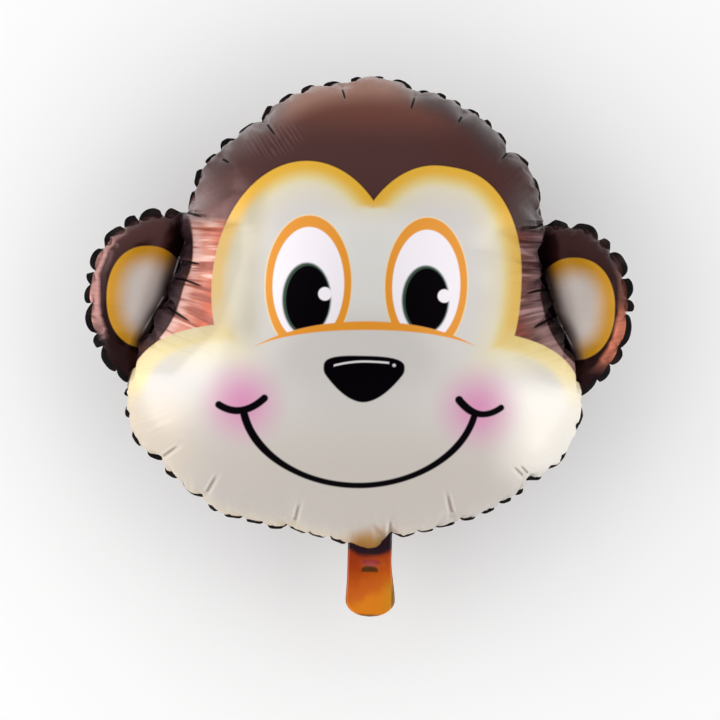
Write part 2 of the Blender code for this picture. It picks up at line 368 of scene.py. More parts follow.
def hold_lengths(x, batches, longer, shorter):
    """Move the ends of each pair by these shares of what its length is off."""
    for i, j, rest in batches:
        d = x[i] - x[j]
        length = np.sqrt(np.einsum("ij,ij->i", d, d))
        off = length - rest
        move = d * (np.where(off > 0, longer, shorter) * off / length)[:, None]
        x[i] -= move
        x[j] += move


def relax(film, target, steps, push, damping, squeeze, bend, pull, keep=None):
    """Blow the film out: a small push along the normals each step, then its edges back to length."""
    faces, rim = film["faces"], film["rim"]
    edges, _, hinges = edges_of(faces)
    n = len(film["flat"])
    batches = {}
    for name, pairs in (("stretch", edges), ("fold", hinges)):
        rest = rest_lengths(pairs, film, keep)
        batches[name] = [(pairs[s, 0], pairs[s, 1], rest[s]) for s in colour_batches(pairs, n)]
    spacing = np.linalg.norm(np.diff(target, axis=0), axis=1).mean()
    low_pass = (np.fft.rfftfreq(len(rim)) / spacing < 1 / GUIDED_WAVE).astype(float)[:, None]
    span = max(3, int(GUIDED_WAVE / spacing) | 1)
    x = film["shape"].copy()
    v = np.zeros_like(x)
    for step in range(steps):
        normal = vertex_normals(x, faces)
        normal[rim] *= 0.5
        old = x.copy()
        x = x + v * damping + normal * push(step)
        hold_lengths(x, batches["stretch"], 0.5, 0.5 * squeeze(step))
        if bend:
            hold_lengths(x, batches["fold"], 0.0, 0.5 * bend)
        guide_rim(x, rim, target, low_pass, pull)
        for weld in film["welds"]:
            guide_weld(x, weld, film["flat"][weld] * BLOWN_SHARE, span, pull)
        np.maximum(x[:, 2], 0.0, out=x[:, 2])
        v = x - old
    return x


# How many points are measured at once, so that the distances fit in memory
CHUNK = 1500


def nearest_on(points, spots):
    """For each point, its distance to the nearest spot and which spot that is."""
    gap = np.empty(len(points))
    near = np.empty(len(points), int)
    for chunk in np.array_split(np.arange(len(points)), max(1, len(points) // CHUNK)):
        d = ((points[chunk, None, :] - spots[None]) ** 2).sum(axis=2)
        near[chunk] = np.argmin(d, axis=1)
        gap[chunk] = np.sqrt(d[np.arange(len(chunk)), near[chunk]])
    return gap, near


def bell(distance, reach):
    return np.exp(-((distance / reach) ** 2))


# Where the long creases start on the outline, and how far each one reaches over the film
LONG_CREASES = (
    (-0.020, 0.225, 0.060), (0.055, 0.215, 0.050), (-0.095, 0.185, 0.058), (0.135, 0.160, 0.048),
    (-0.130, 0.165, 0.045), (0.158, 0.125, 0.045), (-0.188, -0.115, 0.062), (-0.142, -0.150, 0.070),
    (-0.060, -0.180, 0.070), (0.085, -0.176, 0.062), (0.150, -0.145, 0.055), (0.032, -0.188, 0.050),
    (0.185, -0.120, 0.048), (-0.105, -0.168, 0.045),
)
LONG_CREASE_HALF_WIDTH = 0.010
# The pleats at the inner welds, on the ear's side and on the head's: their share and their reach
WELD_PLEATS = ((0.35, 0.010), (0.75, 0.030))
# The least reach of the other pleats, on the head and on the ears, and how much more it may be
SHORT_REACH = (0.016, 0.010)
EAR_REACH = (0.009, 0.007)


def pleat_reach(target, rng):
    """How far the pleats reach up the film from each point of the seam."""
    count = len(target)
    knots = 90
    spread = rng.random(knots) ** 2.0
    closed = np.append(spread, spread[0])
    wave = np.interp(np.arange(count) / count * knots, np.arange(knots + 1), closed)
    reach = SHORT_REACH[0] + SHORT_REACH[1] * wave
    for x, y, length in LONG_CREASES:
        gap = np.linalg.norm(target - (x, y), axis=1)
        gap = gap - gap.min()
        reach = np.maximum(reach, length * bell(gap, LONG_CREASE_HALF_WIDTH))
    on_ear = on_ears(target)
    reach[on_ear] = EAR_REACH[0] + EAR_REACH[1] * wave[on_ear]
    over_tail = np.exp(-(((target[:, 0] - TAIL_X) / (TAIL_ROOT_WIDTH * 0.55)) ** 8))
    over_tail *= target[:, 1] < 0
    return reach, 1 - over_tail


# Half the head's width beside the ears, by height; far out where there is no ear
EAR_ROOT_HALVES = (
    (-0.070, 0.300), (-0.062, 0.212), (-0.054, 0.208), (-0.030, 0.200), (0.000, 0.190), (0.021, 0.179),
    (0.043, 0.172), (0.058, 0.167), (0.075, 0.163), (0.101, 0.159), (0.115, 0.162), (0.125, 0.300),
)


def ear_root_x(y):
    return np.interp(y, *np.array(EAR_ROOT_HALVES).T)


def on_ears(points):
    return np.abs(points[:, 0]) > ear_root_x(points[:, 1])


def kept_share(film, target, rng):
    """How much of the film's excess shows as pleats: all at the seam, none over the face."""
    flat = film["flat"]
    reach, away_from_tail = pleat_reach(target, rng)
    gap, near = nearest_on(flat, flat[film["rim"]])
    outer = bell(gap, reach[near]) * away_from_tail[near]
    gap, _ = nearest_on(flat, flat[np.concatenate(film["welds"])])
    on_ear_side, on_head_side = (share * bell(gap, length) for share, length in WELD_PLEATS)
    inner = np.where(on_ears(flat * BLOWN_SHARE), on_ear_side, on_head_side)
    return np.clip(np.maximum(outer, inner), 0, 1)


def seeded(film, target, rng):
    """Push the wall in and out along the seam so that the pleats start at their true pitch."""
    rim = film["rim"]
    n = len(rim)
    length = run_length(np.vstack([target, target[:1]]))[-1]
    count = int(length / PLEAT_PITCH)
    phase = np.cumsum(1 + PITCH_SPREAD * rng.standard_normal(count))
    phase = np.concatenate([[0], phase]) / phase[-1]
    spots = np.interp(np.arange(n) / n, phase, np.arange(count + 1))
    _, away_from_tail = pleat_reach(target, np.random.default_rng(SEED))
    wave = np.cos(2 * np.pi * spots) * PLEAT_SEED_DEPTH * away_from_tail
    normal = outward_normals(target)
    out = film["smooth"].copy()
    gap, near = nearest_on(out[:, :2], out[rim, :2])
    fade = np.exp(-(gap + out[:, 2]) / SEED_FADE)
    out[:, :2] += normal[near] * (wave[near] * fade)[:, None]
    return out + rng.normal(0, 0.01 * FIRST_PITCH / 2, out.shape)


def pleated(film, target, steps, push, first, ramp):
    """Let the spare length go into pleats; the film resists being squeezed more and more."""
    keep = kept_share(film, target, np.random.default_rng(SEED))
    return relax(
        film, target, steps, lambda s: push, DAMPING,
        lambda s: min(1.0, first + s / (ramp * steps)), FOLD_STIFFNESS, OUTLINE_PULL, keep,
    )


def blow_out():
    """The front sheet as it stands when blown out, above the seam's plane at zero."""
    rng = np.random.default_rng(SEED)
    outline, inner = envelope_outline()
    blown = smooth_loop(evenly(outline, OUTLINE_POINTS), 6)
    pattern = blown / BLOWN_SHARE
    flat, faces, rim, welds = first_mesh(pattern, inner / BLOWN_SHARE, FIRST_PITCH)
    film = {"flat": flat, "faces": faces, "rim": rim, "welds": welds}
    shape = np.column_stack([flat * START_SHARE, np.full(len(flat), START_HEIGHT)])
    shape[rim, 2] = 0.0
    film["shape"] = shape

    film["shape"] = relax(
        film, evenly(blown, len(film["rim"])), 2 * FIRST_STEPS,
        lambda s: FIRST_PUSHES[s >= FIRST_STEPS], FIRST_DAMPING, lambda s: 0.0, 0.0, FIRST_PULL,
    )
    film = refine(film, pattern)
    film["shape"] = smoothed(film["shape"], film["faces"], held_lines(film), 0.5, 2)
    target = evenly(blown, len(film["rim"]))
    film["shape"] = relax(
        film, target, SMOOTH_STEPS, lambda s: PUSH, DAMPING, lambda s: 0.0, 0.0, OUTLINE_PULL
    )
    film["smooth"] = smoothed(film["shape"], film["faces"], held_lines(film), 0.5, 2)

    film["shape"] = seeded(film, target, rng)
    film["shape"] = pleated(film, target, PLEAT_STEPS, PUSH, 0.05, 0.6)
    film = refine(film, pattern)
    for name, times in (("smooth", 2), ("shape", 1)):
        film[name] = smoothed(film[name], film["faces"], held_lines(film), 0.5, times)
    target = evenly(blown, len(film["rim"]))
    film["shape"] = pleated(film, target, FINE_STEPS, PUSH / 4, 0.3, 0.4)
    return film


# ---- Pleats as they show at the seam


COURSE_BLUR = 0.0103
# The least distance between two pinches, on the ears and on the head
PINCH_GAPS = (0.0120, 0.0150)
# How far over the film a lobe reaches, how far it may swell, and the chin's one lobe
LOBE_REACH = 0.019
EAR_LOBE_REACH = 0.012
LOBE_SWELL = 0.0085
CHIN_LOBE = 0.0085
DOME_POWER = 2.4
CHIN_POWER = 1.55
# How much of the pinches' depth and of the lobes' swell is kept
PINCH_KEPT = 0.45
SWELL_KEPT = 0.50
# Rounds of smoothing that calm the ears, where the mesh has so many vertices in a metre
CALM_ROUNDS = 40
CALM_DENSITY = 400

# Creases on the painted map: where each starts and ends, how deep it is and how wide. The first
# RIM_CREASES of them start at the seam, which dips there.
CREASES = (
    ((-0.0225, 0.2199), (-0.0185, 0.2073), 0.0013, 0.0017),
    ((0.0439, 0.2145), (0.0398, 0.1989), 0.0013, 0.0017),
    ((-0.0905, 0.1862), (-0.0801, 0.1729), 0.0014, 0.0018),
    ((0.1297, 0.1651), (0.1235, 0.1577), 0.0014, 0.0018),
    ((-0.1304, 0.1533), (-0.1212, 0.1481), 0.0010, 0.0020),
    ((0.0879, 0.1984), (0.0827, 0.1892), 0.0008, 0.0020),
    ((-0.1772, -0.1202), (-0.1601, -0.1075), 0.0011, 0.0018),
    ((-0.1355, -0.1517), (-0.1251, -0.1323), 0.0010, 0.0018),
    ((-0.0558, -0.1776), (-0.0501, -0.1556), 0.0013, 0.0018),
    ((0.0890, -0.1663), (0.0829, -0.1429), 0.0013, 0.0018),
    ((0.1587, -0.1280), (0.1475, -0.1166), 0.0009, 0.0018),
    ((0.1543, -0.1300), (0.1412, -0.1176), 0.0010, 0.0018),
    ((0.0333, -0.1869), (0.0329, -0.1706), 0.0014, 0.0018),
    ((-0.1608, 0.1035), (-0.1452, 0.0985), 0.0016, 0.0020),
    ((-0.1595, 0.0572), (-0.1449, 0.0554), 0.0013, 0.0018),
    ((-0.1681, 0.0425), (-0.1398, 0.0342), 0.0016, 0.0019),
    ((-0.1765, 0.0159), (-0.1507, 0.0012), 0.0016, 0.0019),
    ((0.1660, 0.1008), (0.1470, 0.0957), 0.0015, 0.0020),
    ((0.1703, 0.0420), (0.1460, 0.0358), 0.0014, 0.0018),
    ((0.1773, 0.0177), (0.1532, 0.0034), 0.0016, 0.0019),
)
RIM_CREASES = 13
DIP = 0.0030
DIP_REACH = 0.0085

# The corners between the head and the right ear, above and below it
NOTCHES = ((0.1600, 0.1030), (0.2050, -0.0570))
NOTCH_REACH = 0.018


def calm_ears(film):
    """The film of the ears and of the notches beside them drawn tight again: they hold few folds."""
    flat = film["flat"]
    blown = flat * BLOWN_SHARE
    by_notch = np.linalg.norm(np.abs(blown) - NOTCHES[0], axis=1) < NOTCH_REACH
    fixed = ~(on_ears(blown) | by_notch)
    fixed[held_lines(film)] = True
    density = 1.0 / np.linalg.norm(flat[film["rim"][1]] - flat[film["rim"][0]])
    times = int(CALM_ROUNDS * (density / CALM_DENSITY) ** 2)
    film["shape"] = smoothed(film["shape"], film["faces"], np.flatnonzero(fixed), 0.5, times)


def seam_course(film):
    """The seam's smooth course, its outward normals and how far the pleats pull the rim off it."""
    rim = film["shape"][film["rim"], :2]
    step = np.linalg.norm(film["flat"][film["rim"][1]] - film["flat"][film["rim"][0]]) * BLOWN_SHARE
    course = smooth_loop(rim, max(2, int(2 * (COURSE_BLUR / step) ** 2)))
    normal = outward_normals(course)
    return course, normal, ((rim - course) * normal).sum(axis=1), step


def at_tail(course):
    return (course[:, 1] < 0) & (np.abs(course[:, 0] - TAIL_X) < TAIL_ROOT_WIDTH / 2)


def pinch_spots(course, depth, step):
    """The rim's vertices that the pleats pull in most, and the two beside the tail."""
    count = len(depth)
    low = np.flatnonzero((depth < np.roll(depth, 1)) & (depth <= np.roll(depth, -1)))
    tail = np.flatnonzero(at_tail(course))
    least = np.where(on_ears(course), *PINCH_GAPS)
    taken = [int(tail[0]), int(tail[-1])]
    for k in low[np.argsort(depth[low])]:
        away = min(min(abs(k - other), count - abs(k - other)) for other in taken)
        if away * step > least[k] and not tail[0] < k < tail[-1]:
            taken.append(int(k))
    return np.sort(np.array(taken))


def arc_places(spots, where, count):
    """For each place on the rim, which arc between two pinches it is on and how far along it."""
    ends = np.append(spots, spots[0] + count)
    where = np.where(where < spots[0], where + count, where)
    number = np.searchsorted(ends, where, side="right") - 1
    return number, (where - ends[number]) / (ends[number + 1] - ends[number])


def arch(along, power):
    """0 at both ends of an arc and 1 in its middle."""
    return 1 - np.abs(2 * along - 1) ** power


def gather(film):
    """Round the film between its pinches into lobes; gives what the border needs."""
    course, normal, depth, step = seam_course(film)
    spots = pinch_spots(course, depth, step)
    number, along = arc_places(spots, np.arange(len(course)), len(course))
    start = depth[spots]
    base = start[number] + (np.roll(start, -1) - start)[number] * along
    peak = np.array([depth[number == k].max() for k in range(len(spots))])[number]
    tail = at_tail(course)
    wanted = PINCH_KEPT * base + SWELL_KEPT * np.minimum(peak - base, LOBE_SWELL) * arch(along, DOME_POWER)
    wanted = np.where(tail, PINCH_KEPT * base + CHIN_LOBE * arch(along, CHIN_POWER), wanted)
    move = (wanted - depth)[:, None] * normal
    on_ear = on_ears(course)
    reach = np.where(on_ear, EAR_LOBE_REACH, LOBE_REACH) / BLOWN_SHARE
    gap, near = nearest_on(film["flat"], film["flat"][film["rim"]])
    film["shape"][:, :2] += move[near] * np.exp(-((gap / reach[near]) ** 1.5))[:, None]
    return {"normal": normal, "spots": spots, "tail": tail, "on_ear": on_ear, "gap": gap, "near": near}


# The folds beside the ears: level above this height, leaning below it, from this far out
FOLDS_LEVEL = 0.050
FOLDS_LEAN = 0.36
FOLDS_START = 0.170


def side_wrinkles(x, y):
    """Fine folds across the head's walls beside the ears, from -1 to 1, and where they are."""
    lean = FOLDS_LEAN * np.clip((FOLDS_LEVEL - y) / FOLDS_LEVEL, 0, 1)
    q = y - lean * (np.abs(x) - FOLDS_START)
    side = np.where(x < 0, 0.4, 2.1)
    wave = np.sin(q * 2 * np.pi / 0.0071 + side + 1.3 * np.sin(q * 190 + side))
    wave = 0.7 * wave + 0.5 * np.sin(q * 2 * np.pi / 0.0113 + 2 * side)
    there = smooth_step(y, -0.030, -0.012) * smooth_step(y, 0.108, 0.098)
    there = there * smooth_step(np.abs(x), 0.136, 0.150)
    return wave, there * smooth_step(np.abs(x) - ear_root_x(y), 0.004, -0.003)


# The photographed balloon's lean and swell: height, share of the width, shift to the right
SETTLING = (
    (-0.200, 1.000, 0.0000), (-0.160, 0.985, -0.0020), (-0.120, 0.960, -0.0040), (-0.090, 0.955, -0.0050),
    (-0.060, 0.960, -0.0035), (-0.030, 0.975, -0.0025), (0.000, 0.982, -0.0020), (0.080, 0.985, -0.0010),
    (0.120, 1.000, 0.0030), (0.200, 1.000, 0.0038), (0.240, 1.000, 0.0040),
)
CROWN_DROP = 0.0038
EAR_SHARE = 0.982
EAR_SHIFT = -0.0020

# Local moves of the outline: place, reach and move
NUDGES = (
    ((0.176, 0.110), 0.016, (-0.0005, -0.0050)), ((-0.176, 0.110), 0.016, (0.0005, -0.0036)),
    ((0.100, 0.198), 0.040, (0.0026, 0.0052)), ((-0.060, 0.212), 0.030, (-0.0004, 0.0032)),
    ((-0.165, -0.135), 0.045, (-0.0014, -0.0012)), ((0.108, -0.166), 0.034, (-0.0008, 0.0022)),
    ((0.172, -0.118), 0.030, (0.0018, -0.0010)), ((-0.124, -0.160), 0.030, (-0.0012, -0.0034)),
)


def settle(film):
    """Warp the even form to the photographed balloon's own."""
    height, share, shift = np.array(SETTLING).T
    for name in ("shape", "smooth"):
        x, y = film[name][:, 0], film[name][:, 1]
        film[name][:, 0] = x * np.interp(y, height, share) + np.interp(y, height, shift)
        film[name][:, 1] = y - CROWN_DROP * smooth_step(y, 0.110, 0.215)
        for spot, reach, move in NUDGES:
            gap = np.linalg.norm(film[name][:, :2] - spot, axis=1)
            film[name][:, :2] += bell(gap, reach)[:, None] * move
    shape = film["shape"]
    for start, end, _, _ in CREASES[:RIM_CREASES]:
        outward = np.subtract(start, end) / math.dist(start, end)
        gap = np.linalg.norm(shape[:, :2] - start, axis=1)
        shape[:, :2] -= DIP * bell(gap, DIP_REACH)[:, None] * outward


def smooth_step(x, start, end):
    t = np.clip((x - start) / (end - start), 0, 1)
    return t * t * (3 - 2 * t)


def from_segment(x, y, start, end):
    """Distance from a crease's line, and the place along it from 0 to 1."""
    dx, dy = end[0] - start[0], end[1] - start[1]
    along = np.clip(((x - start[0]) * dx + (y - start[1]) * dy) / (dx * dx + dy * dy), 0, 1)
    return np.hypot(x - start[0] - along * dx, y - start[1] - along * dy), along


def full_depth(shape):
    """The form at the head's true depth."""
    return shape * (1, 1, HEAD_HALF_DEPTH / shape[:, 2].max())


SIDE_FOLD_DEPTH = 0.00060


def carve(film):
    """Press the long creases, each with a low lip beside it, and the side folds into the film."""
    shape = film["shape"]
    x, y = painted_place(full_depth(shape)).T
    wave, there = side_wrinkles(x, y)
    push = SIDE_FOLD_DEPTH * wave * there
    for start, end, depth, width in CREASES:
        gap, along = from_segment(x, y, start, end)
        groove = bell(gap, width * 1.25) - 0.35 * bell(gap - width * 2.6, width * 1.4)
        push -= depth * groove * (1 - 0.5 * along)
    push[film["rim"]] = 0.0
    film["shape"] = shape + vertex_normals(shape, film["faces"]) * push[:, None]
    np.maximum(film["shape"][:, 2], 0.0, out=film["shape"][:, 2])


def painted_place(points):
    """Points as seen from the camera's place over the face, laid on the seam's plane."""
    centre = np.array(CAMERA_SPOT)
    scale = CAMERA_DISTANCE / (CAMERA_DISTANCE - points[:, 2:])
    return (points[:, :2] - centre) * scale + centre


# ---- Pieces


BORDER_ON_HEAD = 0.0006
# How much of the border the camera sees beyond the film, from left to right, above and below
BORDER_IN_SIGHT = (
    (
        (-0.18, 0.0020), (-0.14, 0.0018), (-0.09, 0.0028), (-0.06, 0.0014), (-0.02, -0.0010),
        (0.05, -0.0006), (0.09, 0.0004), (0.19, 0.0014),
    ),
    ((-0.21, 0.0013), (-0.12, 0.0011), (-0.06, 0.0010), (0.03, 0.0008), (0.08, 0.0002), (0.20, 0.0005)),
)
# The height at which the one list takes over from the other
SIGHT_CHANGE = 0.02
BORDER_AT_TAIL = 0.0004
# The border on the ears: its least width, and how much wider it is in the middle of an arc
BORDER_ON_EAR = (0.0009, 0.0046)
# How near to each notch the border narrows, and how far it waves in its width and in its height, with
# one turn for so many of the rim's vertices
NOTCH_TAPERS = (0.015, 0.008)
WIDTH_RIPPLE = 0.08
BORDER_RIPPLE = 0.0004
RIPPLE_VERTICES = 5
BORDER_STEPS = 4
SEAM_GAP = 0.00015
# How softly the back is pressed flat on the floor, and how far from the seam film can hide the border
FLOOR_KNEE = 0.0010
HIDING_REACH = 0.045


def overhang(film, arcs):
    """How far the blown film hides the border from the camera at each rim vertex."""
    shape = film["shape"]
    seen = painted_place(full_depth(shape))
    near = arcs["near"]
    out = ((seen - shape[film["rim"], :2][near]) * arcs["normal"][near]).sum(axis=1)
    hidden = np.zeros(len(film["rim"]))
    np.maximum.at(hidden, near, np.where(arcs["gap"] < HIDING_REACH, out, 0.0))
    for _ in range(2):
        hidden = np.maximum(hidden, np.maximum(np.roll(hidden, 1), np.roll(hidden, -1)))
    return smooth_loop(hidden[:, None], 6)[:, 0]


def seam_rows(film, arcs, rng):
    """The welded border: rows of points out from the rim, narrow at each pinch and wide between."""
    coarse = film["shape"][film["rim"]]
    count = len(coarse)
    where = np.arange(count * BORDER_STEPS) / BORDER_STEPS

    def finer(values):
        closed = np.append(values, values[0])
        return np.interp(where, np.arange(count + 1), closed)

    rim = np.column_stack([finer(coarse[:, k]) for k in (0, 1)])
    normal = np.column_stack([finer(arcs["normal"][:, k]) for k in (0, 1)])
    hidden = finer(overhang(film, arcs))
    beside_head = finer(arcs["on_ear"]) > 0.5
    number, along = arc_places(arcs["spots"], where, count)
    dome = arch(along, DOME_POWER)
    knots = int(count / RIPPLE_VERTICES)
    ripple = np.interp(where, np.linspace(0, count, knots + 1), rng.normal(0, 1, knots + 1))
    size = rng.random(number.max() + 1)[number]
    above, below = (np.interp(rim[:, 0], *np.array(table).T) for table in BORDER_IN_SIGHT)
    in_sight = np.where(rim[:, 1] > SIGHT_CHANGE, above, below)
    on_head = BORDER_ON_HEAD + (hidden + in_sight * (0.10 + 1.05 * size**1.4)) * dome**0.8
    on_ear = BORDER_ON_EAR[0] + BORDER_ON_EAR[1] * (0.80 + 0.3 * size) * dome
    width = np.where(beside_head, on_ear, on_head) * (1 + WIDTH_RIPPLE * ripple * dome)
    for notch, reach in zip(NOTCHES, NOTCH_TAPERS):
        gap = np.linalg.norm(np.abs(rim) - notch, axis=1)
        width *= smooth_step(gap, 0.003, reach)
    width = np.where(finer(arcs["tail"]) > 0.5, BORDER_AT_TAIL, width)
    rows = []
    for share in (0.0, 0.5, 1.0):
        spot = rim + normal * (width * share)[:, None]
        rows.append(np.column_stack([spot, BORDER_RIPPLE * share * ripple * dome]))
    return rows


def sheet_mesh(name, film, rows, side):
    """One sheet of film with its border; side is 1 for the front and -1 for the back."""
    shape = film["shape"]
    base, count = len(shape), len(rows[0])
    points = np.vstack([full_depth(shape) * (1, 1, side)] + rows)
    gap = np.concatenate([np.full(base + 2 * count, SEAM_GAP), np.zeros(count)])
    points[:, 2] += SEAM_Z + side * gap
    if side < 0:
        points[:, 2] = 0.5 * (points[:, 2] + np.sqrt(points[:, 2] ** 2 + FLOOR_KNEE**2))
    loops = [base + k * count + np.arange(count) for k in range(3)]
    border = []
    for inner, outer in zip(loops, loops[1:]):
        ahead_in, ahead_out = np.roll(inner, -1), np.roll(outer, -1)
        border.append(np.column_stack([inner, outer, ahead_out]))
        border.append(np.column_stack([inner, ahead_out, ahead_in]))
    faces = np.vstack([film["faces"]] + border)
    if side < 0:
        faces = faces[:, ::-1]
    mesh = bpy.data.meshes.new(name)
    mesh.from_pydata(points.tolist(), [], faces.tolist())
    mesh.shade_smooth()
    on_border = np.zeros(len(faces), np.int32)
    on_border[len(film["faces"]):] = 1
    mesh.polygons.foreach_set("material_index", on_border)
    return mesh


def map_spots(film, rows):
    """Where each vertex lies on the painted map."""
    return painted_place(np.vstack([full_depth(film["smooth"])] + rows)) / MAP_SPAN + 0.5


def ear_spots(film, arcs, rows):
    """For each vertex of the flat pattern, how far it is beyond the head's outline and in from the seam."""
    flat = film["flat"] * BLOWN_SHARE
    head = head_curve()
    right = head[: len(head) // 2 + 1]
    right = right[np.argsort(right[:, 1])]
    beyond = np.abs(flat[:, 0]) - np.interp(flat[:, 1], right[:, 1], right[:, 0])
    beside = (flat[:, 1] > NOTCHES[1][1] - 0.0005) & (flat[:, 1] < NOTCHES[0][1] - 0.0005)
    beyond = np.where(beside, beyond, np.minimum(beyond, -0.0015))
    spots = np.column_stack([beyond, arcs["gap"] * BLOWN_SHARE]) / MAP_SPAN + 0.5
    return np.vstack([spots, np.full((sum(len(row) for row in rows), 2), 0.5)])


def face_corners(mesh):
    corner = np.empty(len(mesh.loops), np.int32)
    mesh.loops.foreach_get("vertex_index", corner)
    return corner


def add_map(mesh, name, spots):
    """A map from a spot for each vertex or for each corner of a face."""
    layer = mesh.uv_layers.new(name=name)
    if len(spots) != len(mesh.loops):
        spots = spots[face_corners(mesh)]
    layer.data.foreach_set("uv", spots.astype(np.float32).ravel())


def on_line(x, y, start, end):
    """How far to the side of a line a spot is, and the share of its length along it."""
    dx, dy = end[0] - start[0], end[1] - start[1]
    length = math.hypot(dx, dy)
    across = ((x - start[0]) * dy - (y - start[1]) * dx) / length
    return across, ((x - start[0]) * dx + (y - start[1]) * dy) / length**2


# The crease map's scale: its width stands for this many crease widths, and crease lengths
CREASE_SPAN = 20
# How close a face is to a crease that it belongs to, and where faces without one are
CREASE_REACH = 0.010
NO_CREASE = 9.0


def crease_map(mesh, spots):
    """For each face corner, the distance from its face's nearest crease and the place along it."""
    x, y = ((spots[face_corners(mesh)] - 0.5) * MAP_SPAN).reshape(-1, 3, 2).transpose(2, 0, 1)
    best = np.full(len(x), 1.0)
    out = np.full((len(x), 3, 2), NO_CREASE)
    for start, end, _, width in CREASES:
        gap, _ = from_segment(x.mean(axis=1), y.mean(axis=1), start, end)
        near = (gap < best) & (gap < CREASE_REACH)
        best[near] = gap[near]
        across, along = on_line(x[near], y[near], start, end)
        out[near] = np.stack([across / width, along], axis=2)
    return out.reshape(-1, 2) / CREASE_SPAN + 0.5


def add_object(name, data):
    thing = bpy.data.objects.new(name, data)
    bpy.context.scene.collection.objects.link(thing)
    return thing


def new_piece(mesh, materials, node):
    piece = add_object(mesh.name, mesh)
    for material in materials:
        mesh.materials.append(material)
    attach(piece, "root")
    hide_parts(node)


def chin_y():
    curve = head_curve()
    below = curve[curve[:, 1] < 0]
    return below[np.argmin(np.abs(below[:, 0] - TAIL_X)), 1]


TAIL_COLUMNS = 24
TAIL_ROWS = 64
# How high the tail's rounded end is, and how far it ends beyond the CAD model's
TAIL_END_HEIGHT = 0.0165
TAIL_EXTRA = 0.0040


def tail_grid():
    """Points over the tail as columns across it and rows from its root to its round end."""
    root_y = chin_y() + TAIL_GRIP
    end_y = chin_y() - TAIL_LENGTH - TAIL_EXTRA
    ys = end_y + (root_y - end_y) * (1 - np.linspace(0, 1, TAIL_ROWS)) ** 1.15
    points = np.empty((TAIL_ROWS, TAIL_COLUMNS, 3))
    across = np.linspace(-1, 1, TAIL_COLUMNS)
    for row, y in enumerate(ys):
        along = (root_y - y) / (root_y - end_y)
        to_end = max(end_y + TAIL_END_HEIGHT - y, 0.0) / TAIL_END_HEIGHT
        rounding = math.sqrt(max(1 - to_end**2.2, 0.0004))
        left = TAIL_ROOT_WIDTH / 2 + 0.0012 * smooth_step(along, 0.5, 1.0)
        right = TAIL_ROOT_WIDTH / 2 - 0.0012 + 0.0042 * smooth_step(along, 0.35, 0.85)
        x = np.where(across < 0, across * left, across * right) * rounding
        free = max(along - 0.2, 0.0)
        dent = 0.0011 * bell(along - 0.46, 0.06) * bell(across, 0.45)
        wave = 0.0010 * free * np.sin(across * 2.1 + 5 * along) + 0.0008 * free * np.sin(7 * along + across)
        sag = -0.006 * free**2
        points[row] = np.column_stack([TAIL_X + x, np.full(TAIL_COLUMNS, y), wave + sag - dent])
    return points


def tail_mesh():
    """Two layers of film that meet at the sleeve's sides and at its end."""
    grid = tail_grid()
    front = np.arange(TAIL_ROWS * TAIL_COLUMNS).reshape(TAIL_ROWS, TAIL_COLUMNS)
    apart = np.zeros(front.shape, bool)
    apart[:-1, 1:-1] = True
    back = front.copy()
    back[apart] = front.size + np.arange(apart.sum())
    points = np.vstack([grid.reshape(-1, 3), grid[apart]])
    points[:, 2] += SEAM_Z
    points[front[apart], 2] += TAIL_FILM / 2
    points[back[apart], 2] -= TAIL_FILM / 2
    faces = []
    for layer, way in ((front, -1), (back, 1)):
        corners = (layer[:-1, :-1], layer[:-1, 1:], layer[1:, 1:], layer[1:, :-1])
        faces.append(np.column_stack([corner.ravel() for corner in corners])[:, ::way])
    mesh = bpy.data.meshes.new("amber_tail")
    mesh.from_pydata(points.tolist(), [], np.vstack(faces).tolist())
    mesh.shade_smooth()
    across = (points[:, 0] - TAIL_X) / TAIL_END_WIDTH + 0.5
    add_map(mesh, "tail_map", np.column_stack([across, (chin_y() - points[:, 1]) / TAIL_LENGTH]))
    return mesh


# ---- Materials


def put(value, socket):
    """Link a field or another node's socket to this one, or set its value."""
    value = getattr(value, "socket", value)
    if isinstance(value, bpy.types.NodeSocket):
        socket.id_data.links.new(value, socket)
    else:
        socket.default_value = value


def new_node(tree, kind, inputs=(), **settings):
    """A new node with these settings and inputs."""
    node = tree.nodes.new("ShaderNode" + kind)
    for name, value in settings.items():
        setattr(node, name, value)
    for key, value in dict(inputs).items():
        put(value, node.inputs[key])
    return node


def math_node(operation):
    """A method that makes a Math node of this kind."""
    return lambda field, *others: field.calc(operation, *others)


class Field:
    """A number that varies over a surface, made by Math nodes."""

    __add__ = math_node("ADD")
    __sub__ = math_node("SUBTRACT")
    __mul__ = math_node("MULTIPLY")
    __truediv__ = math_node("DIVIDE")
    __pow__ = math_node("POWER")
    __abs__ = math_node("ABSOLUTE")
    low = math_node("MINIMUM")
    high = math_node("MAXIMUM")

    def __init__(self, socket):
        self.socket = socket
        self.tree = socket.id_data

    def calc(self, operation, *others, clamp=False):
        inputs = enumerate((self, *others))
        return Field(new_node(self.tree, "Math", inputs, operation=operation, use_clamp=clamp).outputs[0])

    def __neg__(self):
        return self * -1.0

    def rest(self):
        """What this share leaves."""
        return self * -1.0 + 1.0

    def within(self, start, end):
        """0 at start, 1 at end, smooth between; start may be the larger."""
        inputs = {
            "Value": self, "From Min": min(start, end), "From Max": max(start, end),
            "To Min": float(start >= end), "To Max": float(start < end),
        }
        node = new_node(self.tree, "MapRange", inputs, interpolation_type="SMOOTHSTEP")
        return Field(node.outputs["Result"])


def linear(red, green, blue):
    """A colour given in screen values from 0 to 255."""
    parts = []
    for value in (red, green, blue):
        share = value / 255
        parts.append(share / 12.92 if share <= 0.04045 else ((share + 0.055) / 1.055) ** 2.4)
    return (*parts, 1.0)


